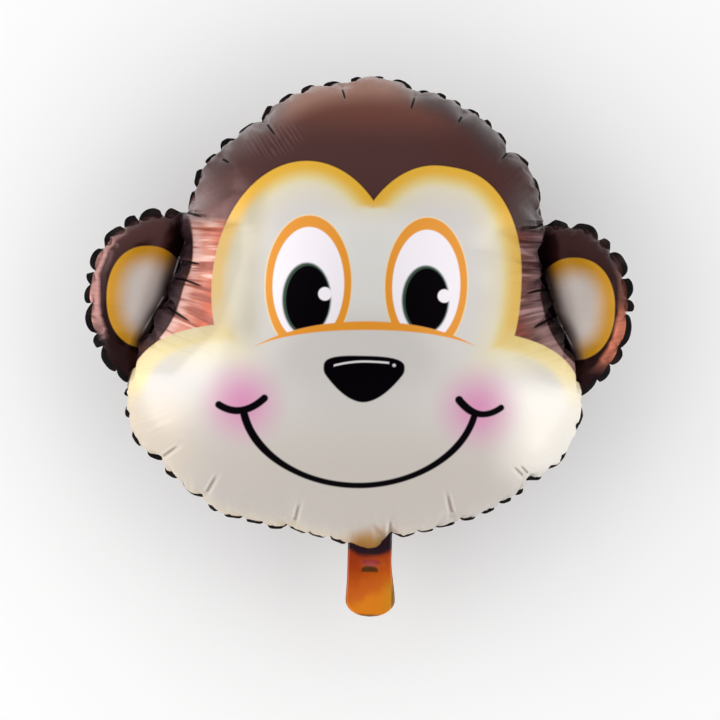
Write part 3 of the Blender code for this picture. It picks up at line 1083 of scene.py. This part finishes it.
def over(below, above, share):
    """The colour above laid on the one below; each is a socket, four linear or three screen values."""
    below, above = (linear(*c) if isinstance(c, tuple) and len(c) == 3 else c for c in (below, above))
    return new_node(share.tree, "Mix", {0: share, 6: below, 7: above}, data_type="RGBA").outputs[2]


def layers(colour, *rows):
    """Each row's colour laid in turn on this one, by the row's share."""
    for above, share in rows:
        colour = over(colour, above, share)
    return colour


def oval(u, v, centre, axes, power=2.0):
    """Signed distance from an oval's edge, below zero inside it."""
    if power == 2.0:
        x, y = (u - centre[0]) * (1 / axes[0]), (v - centre[1]) * (1 / axes[1])
        size = (x * x + y * y) ** 0.5
        a, b = x * (1 / axes[0]), y * (1 / axes[1])
        return (size - 1) * size / ((a * a + b * b) ** 0.5).high(0.5)
    x = abs(u - centre[0]) / axes[0]
    y = abs(v - centre[1]) / axes[1]
    size = (x**power + y**power) ** (1 / power)
    slope = ((x ** (power - 1) / axes[0]) ** 2 + (y ** (power - 1) / axes[1]) ** 2) ** 0.5
    slope = slope * size.high(0.01) ** (1 - power)
    return (size - 1) / slope.high(0.5)


PRINT_BLUR = 0.0008


def filled(distance, blur=PRINT_BLUR):
    """1 inside the shape, 0 outside, with an edge as soft as print."""
    return distance.within(blur, -blur)


def start_material(name):
    """A new material, its shader, and the socket for a spot's place on the object."""
    material = bpy.data.materials.new(name)
    material.use_nodes = True
    tree = material.node_tree
    return material, tree.nodes["Principled BSDF"], new_node(tree, "TexCoord").outputs["Object"]


def set_looks(shader, colour, metallic, roughness, coat=(0.0, 0.03), specular=0.5):
    """The shader's inputs; the coat is its weight and roughness."""
    looks = (
        ("Base Color", colour), ("Metallic", metallic), ("Roughness", roughness),
        ("Coat Weight", coat[0]), ("Coat Roughness", coat[1]), ("Specular IOR Level", specular),
    )
    for name, value in looks:
        put(value, shader.inputs[name])


def noise(place, scale, detail=2.0):
    inputs = {"Scale": scale, "Detail": detail, "Vector": place}
    return Field(new_node(place.id_data, "TexNoise", inputs).outputs["Fac"])


def bump(shader, height, strength, distance):
    inputs = {"Strength": strength, "Distance": distance, "Height": height}
    put(new_node(height.tree, "Bump", inputs).outputs["Normal"], shader.inputs["Normal"])


def parts_of(vector):
    """A vector's three numbers."""
    return [Field(part) for part in new_node(vector.id_data, "SeparateXYZ", {0: vector}).outputs]


def vector_of(*parts):
    return new_node(parts[0].tree, "CombineXYZ", enumerate(parts)).outputs[0]


def map_coordinates(tree, name):
    """A map's two coordinates in metres."""
    u, v, _ = parts_of(new_node(tree, "UVMap", uv_map=name).outputs["UV"])
    return (u - 0.5) * MAP_SPAN, (v - 0.5) * MAP_SPAN


def on_right(x):
    """1 on the right half and 0 on the left."""
    return x.within(-0.05, 0.05)


BROWN = (64, 30, 27)
BROWN_DARK = (34, 16, 17)
CREAM = (205, 200, 195)
CREAM_EDGE = (213, 191, 124)
AMBER_EDGE = (214, 163, 30)
AMBER_LINE = (226, 146, 38)
EYE_WHITE = (240, 234, 240)
INK = (5, 2, 6)

LOBES = (
    ((-0.0509, 0.0340), (0.0848, 0.1179)),
    ((0.0652, 0.0363), (0.0794, 0.1147)),
    ((0.0819, 0.0567), (0.0626, 0.0916)),
)
CHEEKS = ((-0.0025, -0.1050), (0.2080, 0.1104))
GLINT_AXES = (0.0061, 0.0061)
EYES = (
    {"outer": ((-0.0480, 0.0404), (0.0389, 0.0626)), "inner": ((-0.0480, 0.0400), (0.0325, 0.0526)),
     "iris": ((-0.0492, 0.0272), (0.0221, 0.0330)), "pupil": ((-0.0482, 0.0268), (0.0200, 0.0308)),
     "glint": ((-0.0327, 0.0323), GLINT_AXES)},
    {"outer": ((0.0589, 0.0422), (0.0372, 0.0617)), "inner": ((0.0589, 0.0418), (0.0309, 0.0512)),
     "iris": ((0.0585, 0.0295), (0.0214, 0.0310)), "pupil": ((0.0594, 0.0291), (0.0194, 0.0290)),
     "glint": ((0.0756, 0.0333), GLINT_AXES)},
)
# What an eye is made of, from the back: an oval, how much larger it is drawn, its colour and its blur
EYE_LAYERS = (
    ("outer", 0.0010, (233, 214, 176), PRINT_BLUR),
    ("outer", 0.0, AMBER_LINE, PRINT_BLUR),
    ("inner", 0.0, EYE_WHITE, PRINT_BLUR),
    ("iris", 0.0, (32, 66, 46), 0.0014),
    ("pupil", 0.0, INK, 0.0010),
    ("glint", 0.0, EYE_WHITE, PRINT_BLUR),
)


def face_edges(u, v):
    """Distances from the face's upper edge, the cheeks' and the whole face's, and where its edge is."""
    left, right, shoulder = (oval(u, v, centre, axes) for centre, axes in LOBES)
    upper = left.low(right.calc("SMOOTH_MIN", shoulder, 0.006))
    cheeks = oval(u, v, *CHEEKS, power=4.0)
    cheek_edge = cheeks.within(-0.024, 0.000) * (v.within(-0.080, -0.038) * 0.8 + 0.2)
    under_notch = abs(u - 0.0095).within(0.018, 0.002) * v.within(0.115, 0.106)
    top_edge = (upper - under_notch * 0.020).within(-0.025, -0.001)
    edge = top_edge.low(cheek_edge.high(cheeks.within(-0.004, 0.004)))
    return upper, upper.low(cheeks.low(v + 0.060)), edge


def face_patch(u, v, z, colour):
    """The pale mask of the face, amber at its edge, with a thin dark line round its top, painted shade on
    its left side and painted sheen on its cheeks.
    """
    upper, patch, edge = face_edges(u, v)
    colour = over(colour, (58, 22, 12), filled(patch - 0.0014) * v.within(0.080, 0.115))
    outer = abs(u).within(0.040, 0.090).high(v.within(0.075, 0.120)) * v.within(-0.050, -0.010)
    pale_edge = over(CREAM_EDGE, (236, 218, 164), v.within(-0.005, -0.035))
    # Painted shade on the face's left side, where the left lamp's highlight falls
    left_painted_shade = u.within(-0.080, -0.104) * v.within(-0.030, 0.005)
    cheek_colour = over((250, 234, 194), (242, 212, 134), on_right(u))
    rim_colour = over(AMBER_EDGE, cheek_colour, upper.within(0.006, 0.020))
    outside = abs(u - 0.008).within(0.105, 0.150) * v.within(0.120, 0.095) * -0.45 + 1.0
    outside = outside * (u.within(-0.09, -0.11) * v.within(0.040, 0.000) * -0.7 + 1.0)
    outside = outside * (u.within(0.118, 0.134) * v.within(0.014, -0.006) * -0.7 + 1.0)
    by_seam = z.within(SEAM_Z + 0.060, SEAM_Z + 0.002) * v.within(0.0, -0.05)
    # Painted sheen on the right cheek and on the left one
    right_sheen = u.within(0.110, 0.165) * v.within(-0.030, -0.060) * v.within(-0.150, -0.112)
    left_sheen = u.within(-0.125, -0.175) * v.within(-0.050, -0.085) * v.within(-0.150, -0.120)
    middle = abs(u - 0.005).within(0.070, 0.020) * v.within(0.000, 0.030) * v.within(0.120, 0.090)
    chin = oval(u, v, (0.0150, -0.1980), (0.0250, 0.0160)).within(0.0080, -0.0110)
    skin = layers(
        CREAM,
        ((190, 182, 174), v.within(-0.050, -0.130)),
        ((222, 208, 158), upper.within(-0.044, -0.008) * outer * 0.6),
        (pale_edge, edge.within(0.0, 0.55)),
        ((176, 168, 148), left_painted_shade * 0.75),
        (rim_colour, edge.within(0.36, 1.0) * outside),
        ((226, 202, 160), by_seam * u.within(0.10, 0.0) * 0.6),
        ((248, 242, 232), right_sheen * 0.68),
        ((214, 198, 178), left_sheen * 0.6),
        ((218, 216, 212), middle * 0.8),
        ((160, 118, 44), chin * 0.95),
    )
    return over(colour, skin, filled(patch)), patch


def eye_line(u):
    """The height of the arc that cuts the eyes off at the bottom."""
    x = u - 0.005
    square = x * x
    return x * 0.028 - square * 1.3 - square * square * 55.0 + 0.0045


def eyes(u, v, colour):
    arc = eye_line(u)
    above = filled(arc - v)
    for eye in EYES:
        for part, grown, paint, blur in EYE_LAYERS:
            colour = over(colour, paint, filled(oval(u, v, *eye[part]) - grown, blur) * above)
    x = abs(u - 0.005) / 0.1005
    half = (x * x).rest().high(0.0) * 0.0039
    return over(colour, AMBER_LINE, filled(abs(v - arc) - half) * filled(x - 1.0, 0.004))


def nose(u, v, colour):
    """A flat-topped oval with a longer lower part, a curved stroke of shine and a dot."""
    middle, widest = 0.0047, -0.0342
    height, low_half, power = 0.0310, 0.0394, 1.86
    top = oval(u, v.high(widest), (middle, widest), (0.0368, 0.0113), power=3.0)
    x = abs(u - 0.0042) / low_half
    level = x**power + (v * -1.0 + widest) / height - 1
    slope = ((x ** (power - 1) * (power / low_half)) ** 2 + (1 / height) ** 2) ** 0.5
    shine = u - 0.0080
    left = shine.low(0.0)
    line = shine * shine * -1.9 - left * left * 2.8 - 0.0280
    stroke = (abs(v - line) - 0.0009).high(abs(u - 0.0022) - 0.0250)
    dot = oval(u, v, (0.0318, -0.0308), (0.0016, 0.0015))
    return layers(
        colour,
        (INK, filled(top.calc("SMOOTH_MAX", level / slope, 0.0030))),
        ((222, 216, 218), filled(stroke, 0.0007)),
        ((205, 198, 200), filled(dot, 0.0007)),
    )


# The mouth's curls: the middle, its height, and where each arm ends, how it rises and half its width
CURLS = (
    (-0.1101, -0.0758, (
        {"u": -0.1262, "rise": 19.1, "half": 0.0034}, {"u": -0.0850, "rise": 19.1, "half": 0.0034},
    )),
    (0.1130, -0.0730, (
        {"u": 0.0917, "rise": 27.5, "half": 0.0037}, {"u": 0.1301, "rise": 22.0, "half": 0.0029},
    )),
)


def curl(u, v, middle, lowest, ends):
    """Distance from one of the mouth's curls: two arms of a parabola with round ends."""
    x = u - middle
    before, after = x.low(0.0), x.high(0.0)
    line = before * before * ends[0]["rise"] + after * after * ends[1]["rise"] + lowest
    slope = before * (2 * ends[0]["rise"]) + after * (2 * ends[1]["rise"])
    half = u.within(middle - 0.015, middle + 0.003) * (ends[1]["half"] - ends[0]["half"]) + ends[0]["half"]
    distance = abs(v - line) / (slope * slope + 1) ** 0.5 - half
    dots = []
    for end, way in zip(ends, (-1, 1)):
        out = end["u"] - middle
        spot = (end["u"], lowest + end["rise"] * out**2)
        slope = 2 * end["rise"] * out
        length = math.hypot(1, slope)
        past = (u - spot[0]) * (way / length) + (v - spot[1]) * (way * slope / length)
        distance = distance.high(past)
        dots.append(oval(u, v, spot, (end["half"], end["half"])))
    return distance.low(dots[0]).low(dots[1])


def mouth(u, v, colour):
    right = on_right(u)
    half = v.within(-0.138, -0.100) * (right * -0.0005 + 0.0011) + 0.0026
    smile = abs(oval(u, v - u * 0.0197, (0.0015, -0.0610), (0.1065, 0.0795))) - half
    smile = smile.high(v + 0.0740 - right * 0.0018)
    for middle, lowest, ends in CURLS:
        smile = smile.low(curl(u, v, middle, lowest, ends))
    return over(colour, INK, filled(smile))


BLUSH_SPOTS = ((-0.1048, -0.0690), (0.1086, -0.0680))
BLUSH_RADIUS = 0.0450


def blush(u, v, colour):
    for spot in BLUSH_SPOTS:
        x, y = (u - spot[0]) / BLUSH_RADIUS, (v - spot[1]) / BLUSH_RADIUS
        size = (x * x + y * y) ** 0.5
        colour = over(colour, (206, 122, 170), size.within(1.10, 0.0) * 0.85)
    return colour


EAR_PRINT = ((0.1935, 0.0245), (0.0370, 0.0465))
# The lit stretches of the ears' inner welds, as seen from above
WELD_SHINE = (
    ((0.1776, 0.0174), (0.1943, -0.0116)),
    ((-0.1786, 0.0262), (-0.1988, -0.0104)),
    ((-0.1654, 0.0625), (-0.1713, 0.0420)),
)


def ear_prints(x, y, beyond, beside, colour):
    """The ears' pale insides, amber at the outer edge and shaded towards the head."""
    print_shape = oval(abs(x), y, *EAR_PRINT, power=2.2)
    right = on_right(x)
    inward = beside - right * 0.0030
    shaded = over(over((70, 52, 54), (92, 76, 74), right), (32, 22, 22), right * y.within(0.036, 0.058))
    pale = layers(
        (206, 196, 190),
        ((190, 134, 12), print_shape.within(-0.026, -0.003)),
        (shaded, inward.within(0.0150, 0.0015)),
    )
    shape = filled(print_shape.high(-(beyond - 0.0010)).high(-inward))
    return over(colour, pale, shape), shape


def ear_looks(x, y, beside, gap, streaks, on_ear, colour):
    """The ears' dark film, with a painted highlight along the outer edge and painted shade by the inner
    weld.
    """
    right = on_right(x)
    height = y + right * 0.018
    top = height.within(0.090, 0.062) * (right * height.within(0.030, 0.052) * -0.75 + 1.0)
    # Where the painted highlight lies along the ear's outer edge
    lit_share = height.within(-0.018, 0.012) * top * gap.within(0.0150, 0.0100)
    lit_share = lit_share * (streaks.within(0.25, 0.60) * 0.20 + 0.66)
    film = layers(
        BROWN_DARK,
        ((66, 36, 34), y.within(0.030, 0.085) * (right * -0.5 + 1.0)),
        (over((206, 148, 141), (206, 118, 90), right), lit_share),
        # Painted shade in the valley beside the ear's inner weld
        ((10, 5, 7), beside.within(0.024, 0.006) * y.within(0.020, 0.055) * 0.85),
    )
    return over(colour, film, on_ear)


def weld_shine(x, y, colour):
    """The lit lines of the ears' inner welds."""
    for start, end in WELD_SHINE:
        across, along = on_line(x, y, start, end)
        line = abs(across).within(0.0011, 0.0003) * along.within(0.0, 0.05) * along.within(1.0, 0.70)
        colour = over(colour, (206, 198, 196), line * 0.8)
    return colour


def seen_place(place):
    """Where a spot on the film is seen from the camera's place over the face, and its height."""
    x, y, z = parts_of(place)
    scale = (z * -1.0 + (CAMERA_DISTANCE + SEAM_Z)) ** -1.0 * CAMERA_DISTANCE
    return tuple((a - c) * scale + c for a, c in zip((x, y), CAMERA_SPOT)) + (z,)


# Half the distance between the outer edges of the head's walls, and between the ears' roots, by height
WALL_EDGE = (
    (-0.070, 0.215), (-0.034, 0.203), (-0.013, 0.183), (0.006, 0.171), (0.018, 0.1665), (0.035, 0.162),
    (0.053, 0.156), (0.076, 0.155), (0.101, 0.159), (0.130, 0.166),
)
EAR_ROOT = tuple((y, float(ear_root_x(min(max(y, -0.054), 0.101)))) for y in (
    -0.070, -0.054, -0.030, 0.000, 0.021, 0.043, 0.058, 0.075, 0.101, 0.130,
))
# The heights that a curve's table covers, and what its values are multiplied by to fill the curve
CURVE_LOWEST = 0.07
CURVE_HEIGHT = 0.20
CURVE_SCALE = 4


def curve_field(v, table):
    """A value read from a table by height."""
    node = new_node(v.tree, "FloatCurve")
    curve = node.mapping.curves[0]
    points = [((y + CURVE_LOWEST) / CURVE_HEIGHT, value * CURVE_SCALE) for y, value in table]
    for spot in points[1:-1]:
        curve.points.new(*spot)
    curve.points[0].location = points[0]
    curve.points[-1].location = points[-1]
    node.mapping.update()
    put((v + CURVE_LOWEST) / CURVE_HEIGHT, node.inputs["Value"])
    return Field(node.outputs[0]) / CURVE_SCALE


def side_walls(x, y, on_ear, streaks, colour):
    """The head's walls beside the ears in painted light and shade: nearly black at the weld, then lit, on
    the left most of all.
    """
    right = on_right(x)
    edge = curve_field(y, WALL_EDGE) + (y.within(0.034, 0.052) * 0.0062 + 0.0020) * right
    side = abs(x)
    past = side - edge
    there = y.within(-0.050, -0.030) * on_ear.rest()
    by_ear = y.within(0.022, 0.000) * past.within(-0.020, -0.007)
    # Lit and shaded copies of each colour for the left wall and the right: painted light and shade, with a
    # painted mauve light above the walls
    outer, middle, inner, bright, streak_shade, painted_mauve_light, dark = (over(left, other, right) for left, other in (
        ((232, 182, 172), (128, 100, 104)), ((214, 138, 118), (112, 74, 72)), ((198, 92, 56), (124, 50, 30)),
        ((250, 206, 192), (176, 140, 138)), ((150, 70, 56), (62, 36, 36)), ((134, 100, 97), (72, 58, 58)),
        ((80, 58, 64), (58, 45, 48)),
    ))
    lit = layers(
        over(inner, over(middle, outer, past.within(-0.014, -0.004)), past.within(-0.030, -0.014)),
        (bright, streaks.within(0.53, 0.66) * past.within(-0.040, -0.018) * 0.75),
        (streak_shade, streaks.within(0.46, 0.34) * 0.75),
        ((176, 138, 134), right * by_ear * 0.5),
    )
    wall = there * y.within(0.100, 0.087) * past.within(0.0, -0.0025) * past.within(-0.050, -0.034)
    above = y.within(0.075, 0.090) * y.within(0.150, 0.110) * side.within(0.115, 0.150)
    shade = there * y.within(0.116, 0.102) * past.within(-0.0005, 0.0015)
    return layers(colour, (painted_mauve_light, above * 0.8), (lit, wall * 0.95), (dark, shade)), wall


def crease_field(tree):
    """1 in the middle of every long crease, fading beside it and towards its inner end, for its painted
    shade; and its lips, for their painted highlight.
    """
    across, along = (value / MAP_SPAN * CREASE_SPAN for value in map_coordinates(tree, "crease_map"))
    start = along.within(-0.10, 0.06)
    lip_highlight = abs(abs(across) - 1.7).within(0.9, 0.0) * start * along.within(1.15, 0.60)
    return abs(across).within(1.0, 0.0) * start * along.within(1.02, 0.45), lip_highlight


def fine_folds(x, y, z):
    """Fine folds running in from the seam, and across the walls beside the ears."""
    reach = (x * x + y * y) ** 0.5
    radial = noise(vector_of(x / reach * 46, y / reach * 46, reach * 26), 1.0, 1.0)
    low_wall = z.within(SEAM_Z + 0.080, SEAM_Z + 0.030)
    lean = (y * (-1 / FOLDS_LEVEL) + 1.0).calc("ADD", 0.0, clamp=True) * FOLDS_LEAN
    q = y - (abs(x) - FOLDS_START) * lean
    across = noise(vector_of(x * 16.0, q * 235.0, z * 8.0), 1.0, 1.0)
    side = y.within(-0.040, -0.022) * y.within(0.112, 0.102) * abs(x).within(0.130, 0.146)
    return radial * low_wall * side.rest() + across * side * 1.6, across, radial


def crown(x, y, z, radial):
    """The head's brown film with painted highlights: warmer and brighter towards the top of the seam, mauve
    on the left.
    """
    rise = z - SEAM_Z
    # Painted highlight near the top of the seam, darker and greyer on the right and mauve on the left
    highlight_band = rise.within(0.074, 0.052) * rise.within(0.012, 0.036) * y.within(0.135, 0.175)
    crown_highlight = layers(
        (150, 108, 92), ((58, 42, 42), x.within(0.010, 0.060)), ((88, 66, 64), x.within(-0.055, -0.095))
    )
    # Lighter stripes in a patch on the left of the crown: painted highlights of fine ribs
    rib_highlight_patch = oval(x, y, (-0.086, 0.172), (0.030, 0.018)).within(0.008, -0.010)
    ribs = (x * 0.83 + y * 0.55 + radial * 0.0050) * (2 * math.pi / 0.0040)
    ribs = ribs.calc("SINE").within(-0.2, 0.9) * rise.within(0.090, 0.076)
    return layers(
        BROWN,
        ((94, 48, 36), y.within(0.165, 0.205) * abs(x).within(0.125, 0.050)),
        (crown_highlight, highlight_band * 0.85),
        ((128, 96, 94), ribs * rib_highlight_patch * 0.22),
    )


def printed_foil():
    material, shader, place = start_material("printed_foil")
    tree = material.node_tree
    u, v = map_coordinates(tree, "face_map")
    beyond, gap = map_coordinates(tree, "ear_map")
    x, y, z = seen_place(place)
    folds, streaks, radial = fine_folds(x, y, z)
    on_ear = beyond.within(-0.0003, 0.0003)
    beside = abs(x - EAR_SHIFT) / EAR_SHARE - curve_field(y, EAR_ROOT)
    colour, lit = side_walls(x, y, on_ear, streaks, crown(x, y, z, radial))
    colour = ear_looks(x, y, beside, gap, streaks, on_ear, colour)
    colour, pale = ear_prints(x, y, beyond, beside, colour)
    colour = weld_shine(x, y, colour)
    face, patch = face_patch(x, y, z, colour)
    colour = over(colour, face, on_ear.rest())
    for paint in (blush, eyes, nose, mouth):
        colour = paint(u, v, colour)
    skin = (filled(patch) * on_ear.rest()).high(pale)
    creases, lip_highlight = crease_field(tree)
    # Painted shade in the creases, and a painted highlight on their lips
    crease_shade = over((10, 5, 6), (128, 108, 96), skin)
    colour = layers(
        colour,
        ((240, 234, 224), lip_highlight * skin * on_ear.rest() * 0.28),
        (crease_shade, creases.within(0.12, 0.55) * (skin * -0.35 + 0.95)),
    )
    smooth = creases.rest()
    metal = (skin * -0.44 - lit * 0.44 + 0.60).high(0.0) * smooth
    rough = noise(place, 14.0) * 0.08 + skin * 0.12 + creases * 0.2 + 0.22
    grey = Field(new_node(tree, "RGBToBW", {0: colour}).outputs[0])
    glossy = grey.within(0.003, 0.020) * smooth
    glossy = glossy * (x.within(0.140, 0.020) * skin.rest() * 0.5 + (skin * 0.5 + 0.5))
    coat = glossy * 0.14 * (on_ear * -0.4 + 1.0)
    set_looks(shader, colour, metal, rough, (coat, 0.14), glossy * (on_ear * -0.12 + 0.34) + 0.02)
    height = (noise(place, 70.0) * 0.35 + folds * 1.6) * (on_ear * -0.75 + 1.0) - creases * 1.2
    bump(shader, height, 0.5, 0.0011)
    return material


def plain_foil():
    material, shader, place = start_material("plain_foil")
    mottle = noise(place, 16.0, 3.0)
    colour = over((66, 38, 36), (84, 50, 45), mottle.within(0.35, 0.65))
    set_looks(shader, colour, 0.72, mottle * 0.12 + 0.20, (0.30, 0.16))
    bump(shader, noise(place, 85.0, 3.0) + noise(place, 420.0) * 0.15, 0.20, 0.0012)
    return material


def seam_film():
    """The border's black film, with the fine ribs that the sealing iron leaves."""
    material, shader, place = start_material("seam_film")
    mottle = noise(place, 60.0)
    colour = over((14, 10, 12), (46, 28, 27), mottle.within(0.45, 0.75))
    set_looks(shader, colour, 0.5, mottle * 0.15 + 0.28)
    ribs = new_node(material.node_tree, "TexVoronoi", {"Scale": 900.0, "Vector": place})
    bump(shader, Field(ribs.outputs["Distance"]), 0.3, 0.0003)
    return material


def amber_film():
    """The tail's film: a painted shadow under the chin's lobe, a painted reflection on a crumple, the
    valve's inlet and a welded edge.
    """
    material, shader, place = start_material("amber_film")
    u, v, _ = parts_of(new_node(material.node_tree, "UVMap", uv_map="tail_map").outputs["UV"])
    across = (u - 0.5) * TAIL_END_WIDTH
    down = v * TAIL_LENGTH
    mottle = noise(place, 55.0, 3.0)
    depth = down + (mottle - 0.5) * 0.022 + across * 0.40
    # A painted reflection on a crumple of the film
    crumple_reflection = oval(across, down, (0.0005, 0.0225), (0.0085, 0.0030))
    inlet = oval(across, down, (-0.0002, 0.0300), (0.0075, 0.0042), power=2.4).high(down - 0.0312)
    # The edge of the painted shadow that the chin's lobe casts on the tail's root
    chin = abs(across) ** 1.5 * -3.0 + (CHIN_LOBE + 0.0014)
    speckle = (mottle - 0.5) * 0.010
    sides = (abs(across) * -1.0 + TAIL_END_WIDTH / 2).high(0.0)
    end = down * -1.0 + (TAIL_LENGTH + TAIL_EXTRA)
    border = sides.within(0.0030, 0.0012).high(end.within(0.0032, 0.0010))
    colour = layers(
        (174, 60, 4),
        ((210, 96, 3), depth.within(0.014, 0.044)),
        ((232, 132, 8), depth.within(0.042, 0.064)),
        ((214, 146, 30), across.within(0.008, 0.022) * down.within(0.030, 0.045) * 0.8),
        ((150, 40, 48), filled(crumple_reflection, 0.0016) * 0.8),
        ((70, 44, 6), filled(inlet, 0.0010) * 0.9),
        ((40, 14, 30), (down - chin + speckle).within(0.0120, 0.0060)),
        ((96, 70, 34), border * 0.75),
    )
    set_looks(shader, colour, 0.20, mottle * 0.15 + 0.24, (0.25, 0.15))
    bump(shader, noise(place, 90.0), 0.25, 0.0010)
    return material


# ---- Surroundings


FLOOR_HALF = 4.0


def pale_floor():
    mesh = bpy.data.meshes.new("pale_floor")
    corners = [(x * FLOOR_HALF, y * FLOOR_HALF, 0.0) for x, y in ((-1, -1), (1, -1), (1, 1), (-1, 1))]
    mesh.from_pydata(corners, [], [(0, 1, 2, 3)])
    floor = add_object("pale_floor", mesh)
    material, shader, place = start_material("pale_floor")
    colour = over((0.95, 0.95, 0.95, 1.0), (0.97, 0.97, 0.97, 1.0), noise(place, 3.0, 4.0))
    set_looks(shader, colour, 0.0, 0.7)
    mesh.materials.append(material)


def soft_light(name, place, size, watts, aim=(0.0, 0.0, 0.1)):
    light = bpy.data.lights.new(name, "AREA")
    light.shape = "RECTANGLE"
    light.size, light.size_y = size
    light.energy = watts
    lamp = add_object(name, light)
    lamp.location = place
    lamp.rotation_euler = (Vector(aim) - Vector(place)).to_track_quat("-Z", "Y").to_euler()


def studio():
    """A light tent with a dark hole for the camera, and low lights at the sides."""
    world = bpy.data.worlds.new("studio")
    bpy.context.scene.world = world
    world.use_nodes = True
    rise = parts_of(new_node(world.node_tree, "TexCoord").outputs["Generated"])[2]
    sky = over((1.18, 1.18, 1.18, 1.0), (0.03, 0.03, 0.03, 1.0), rise.within(0.86, 0.95))
    background = world.node_tree.nodes["Background"]
    put(sky, background.inputs["Color"])
    background.inputs["Strength"].default_value = 1.0
    soft_light("left", (-2.4, 0.3, 0.60), (2.2, 0.8), 18)
    soft_light("right", (2.4, -0.3, 0.55), (1.8, 0.6), 5)
    bpy.context.scene.view_settings.view_transform = "Standard"


def photo_camera():
    data = bpy.data.cameras.new("photo_camera")
    data.sensor_width = SENSOR
    data.lens = SENSOR * CAMERA_DISTANCE / PHOTO_WIDTH
    data.clip_end = 20.0
    camera = add_object("photo_camera", data)
    camera.location = (*CAMERA_SPOT, SEAM_Z + CAMERA_DISTANCE)
    camera.rotation_euler = (0.0, 0.0, PHOTO_LEAN)
    bpy.context.scene.camera = camera


def build():
    photo_camera()
    film = blow_out()
    calm_ears(film)
    arcs = gather(film)
    settle(film)
    carve(film)
    rows = seam_rows(film, arcs, np.random.default_rng(SEED + 1))
    spots = map_spots(film, rows)
    border = seam_film()
    front = sheet_mesh("front_sheet", film, rows, 1)
    add_map(front, "face_map", spots)
    add_map(front, "ear_map", ear_spots(film, arcs, rows))
    add_map(front, "crease_map", crease_map(front, spots))
    back = sheet_mesh("back_sheet", film, rows, -1)
    new_piece(front, (printed_foil(), border), "front_foil")
    new_piece(back, (plain_foil(), border), "back_foil")
    new_piece(tail_mesh(), (amber_film(),), "filling_tail")
    pale_floor()
    studio()


build()
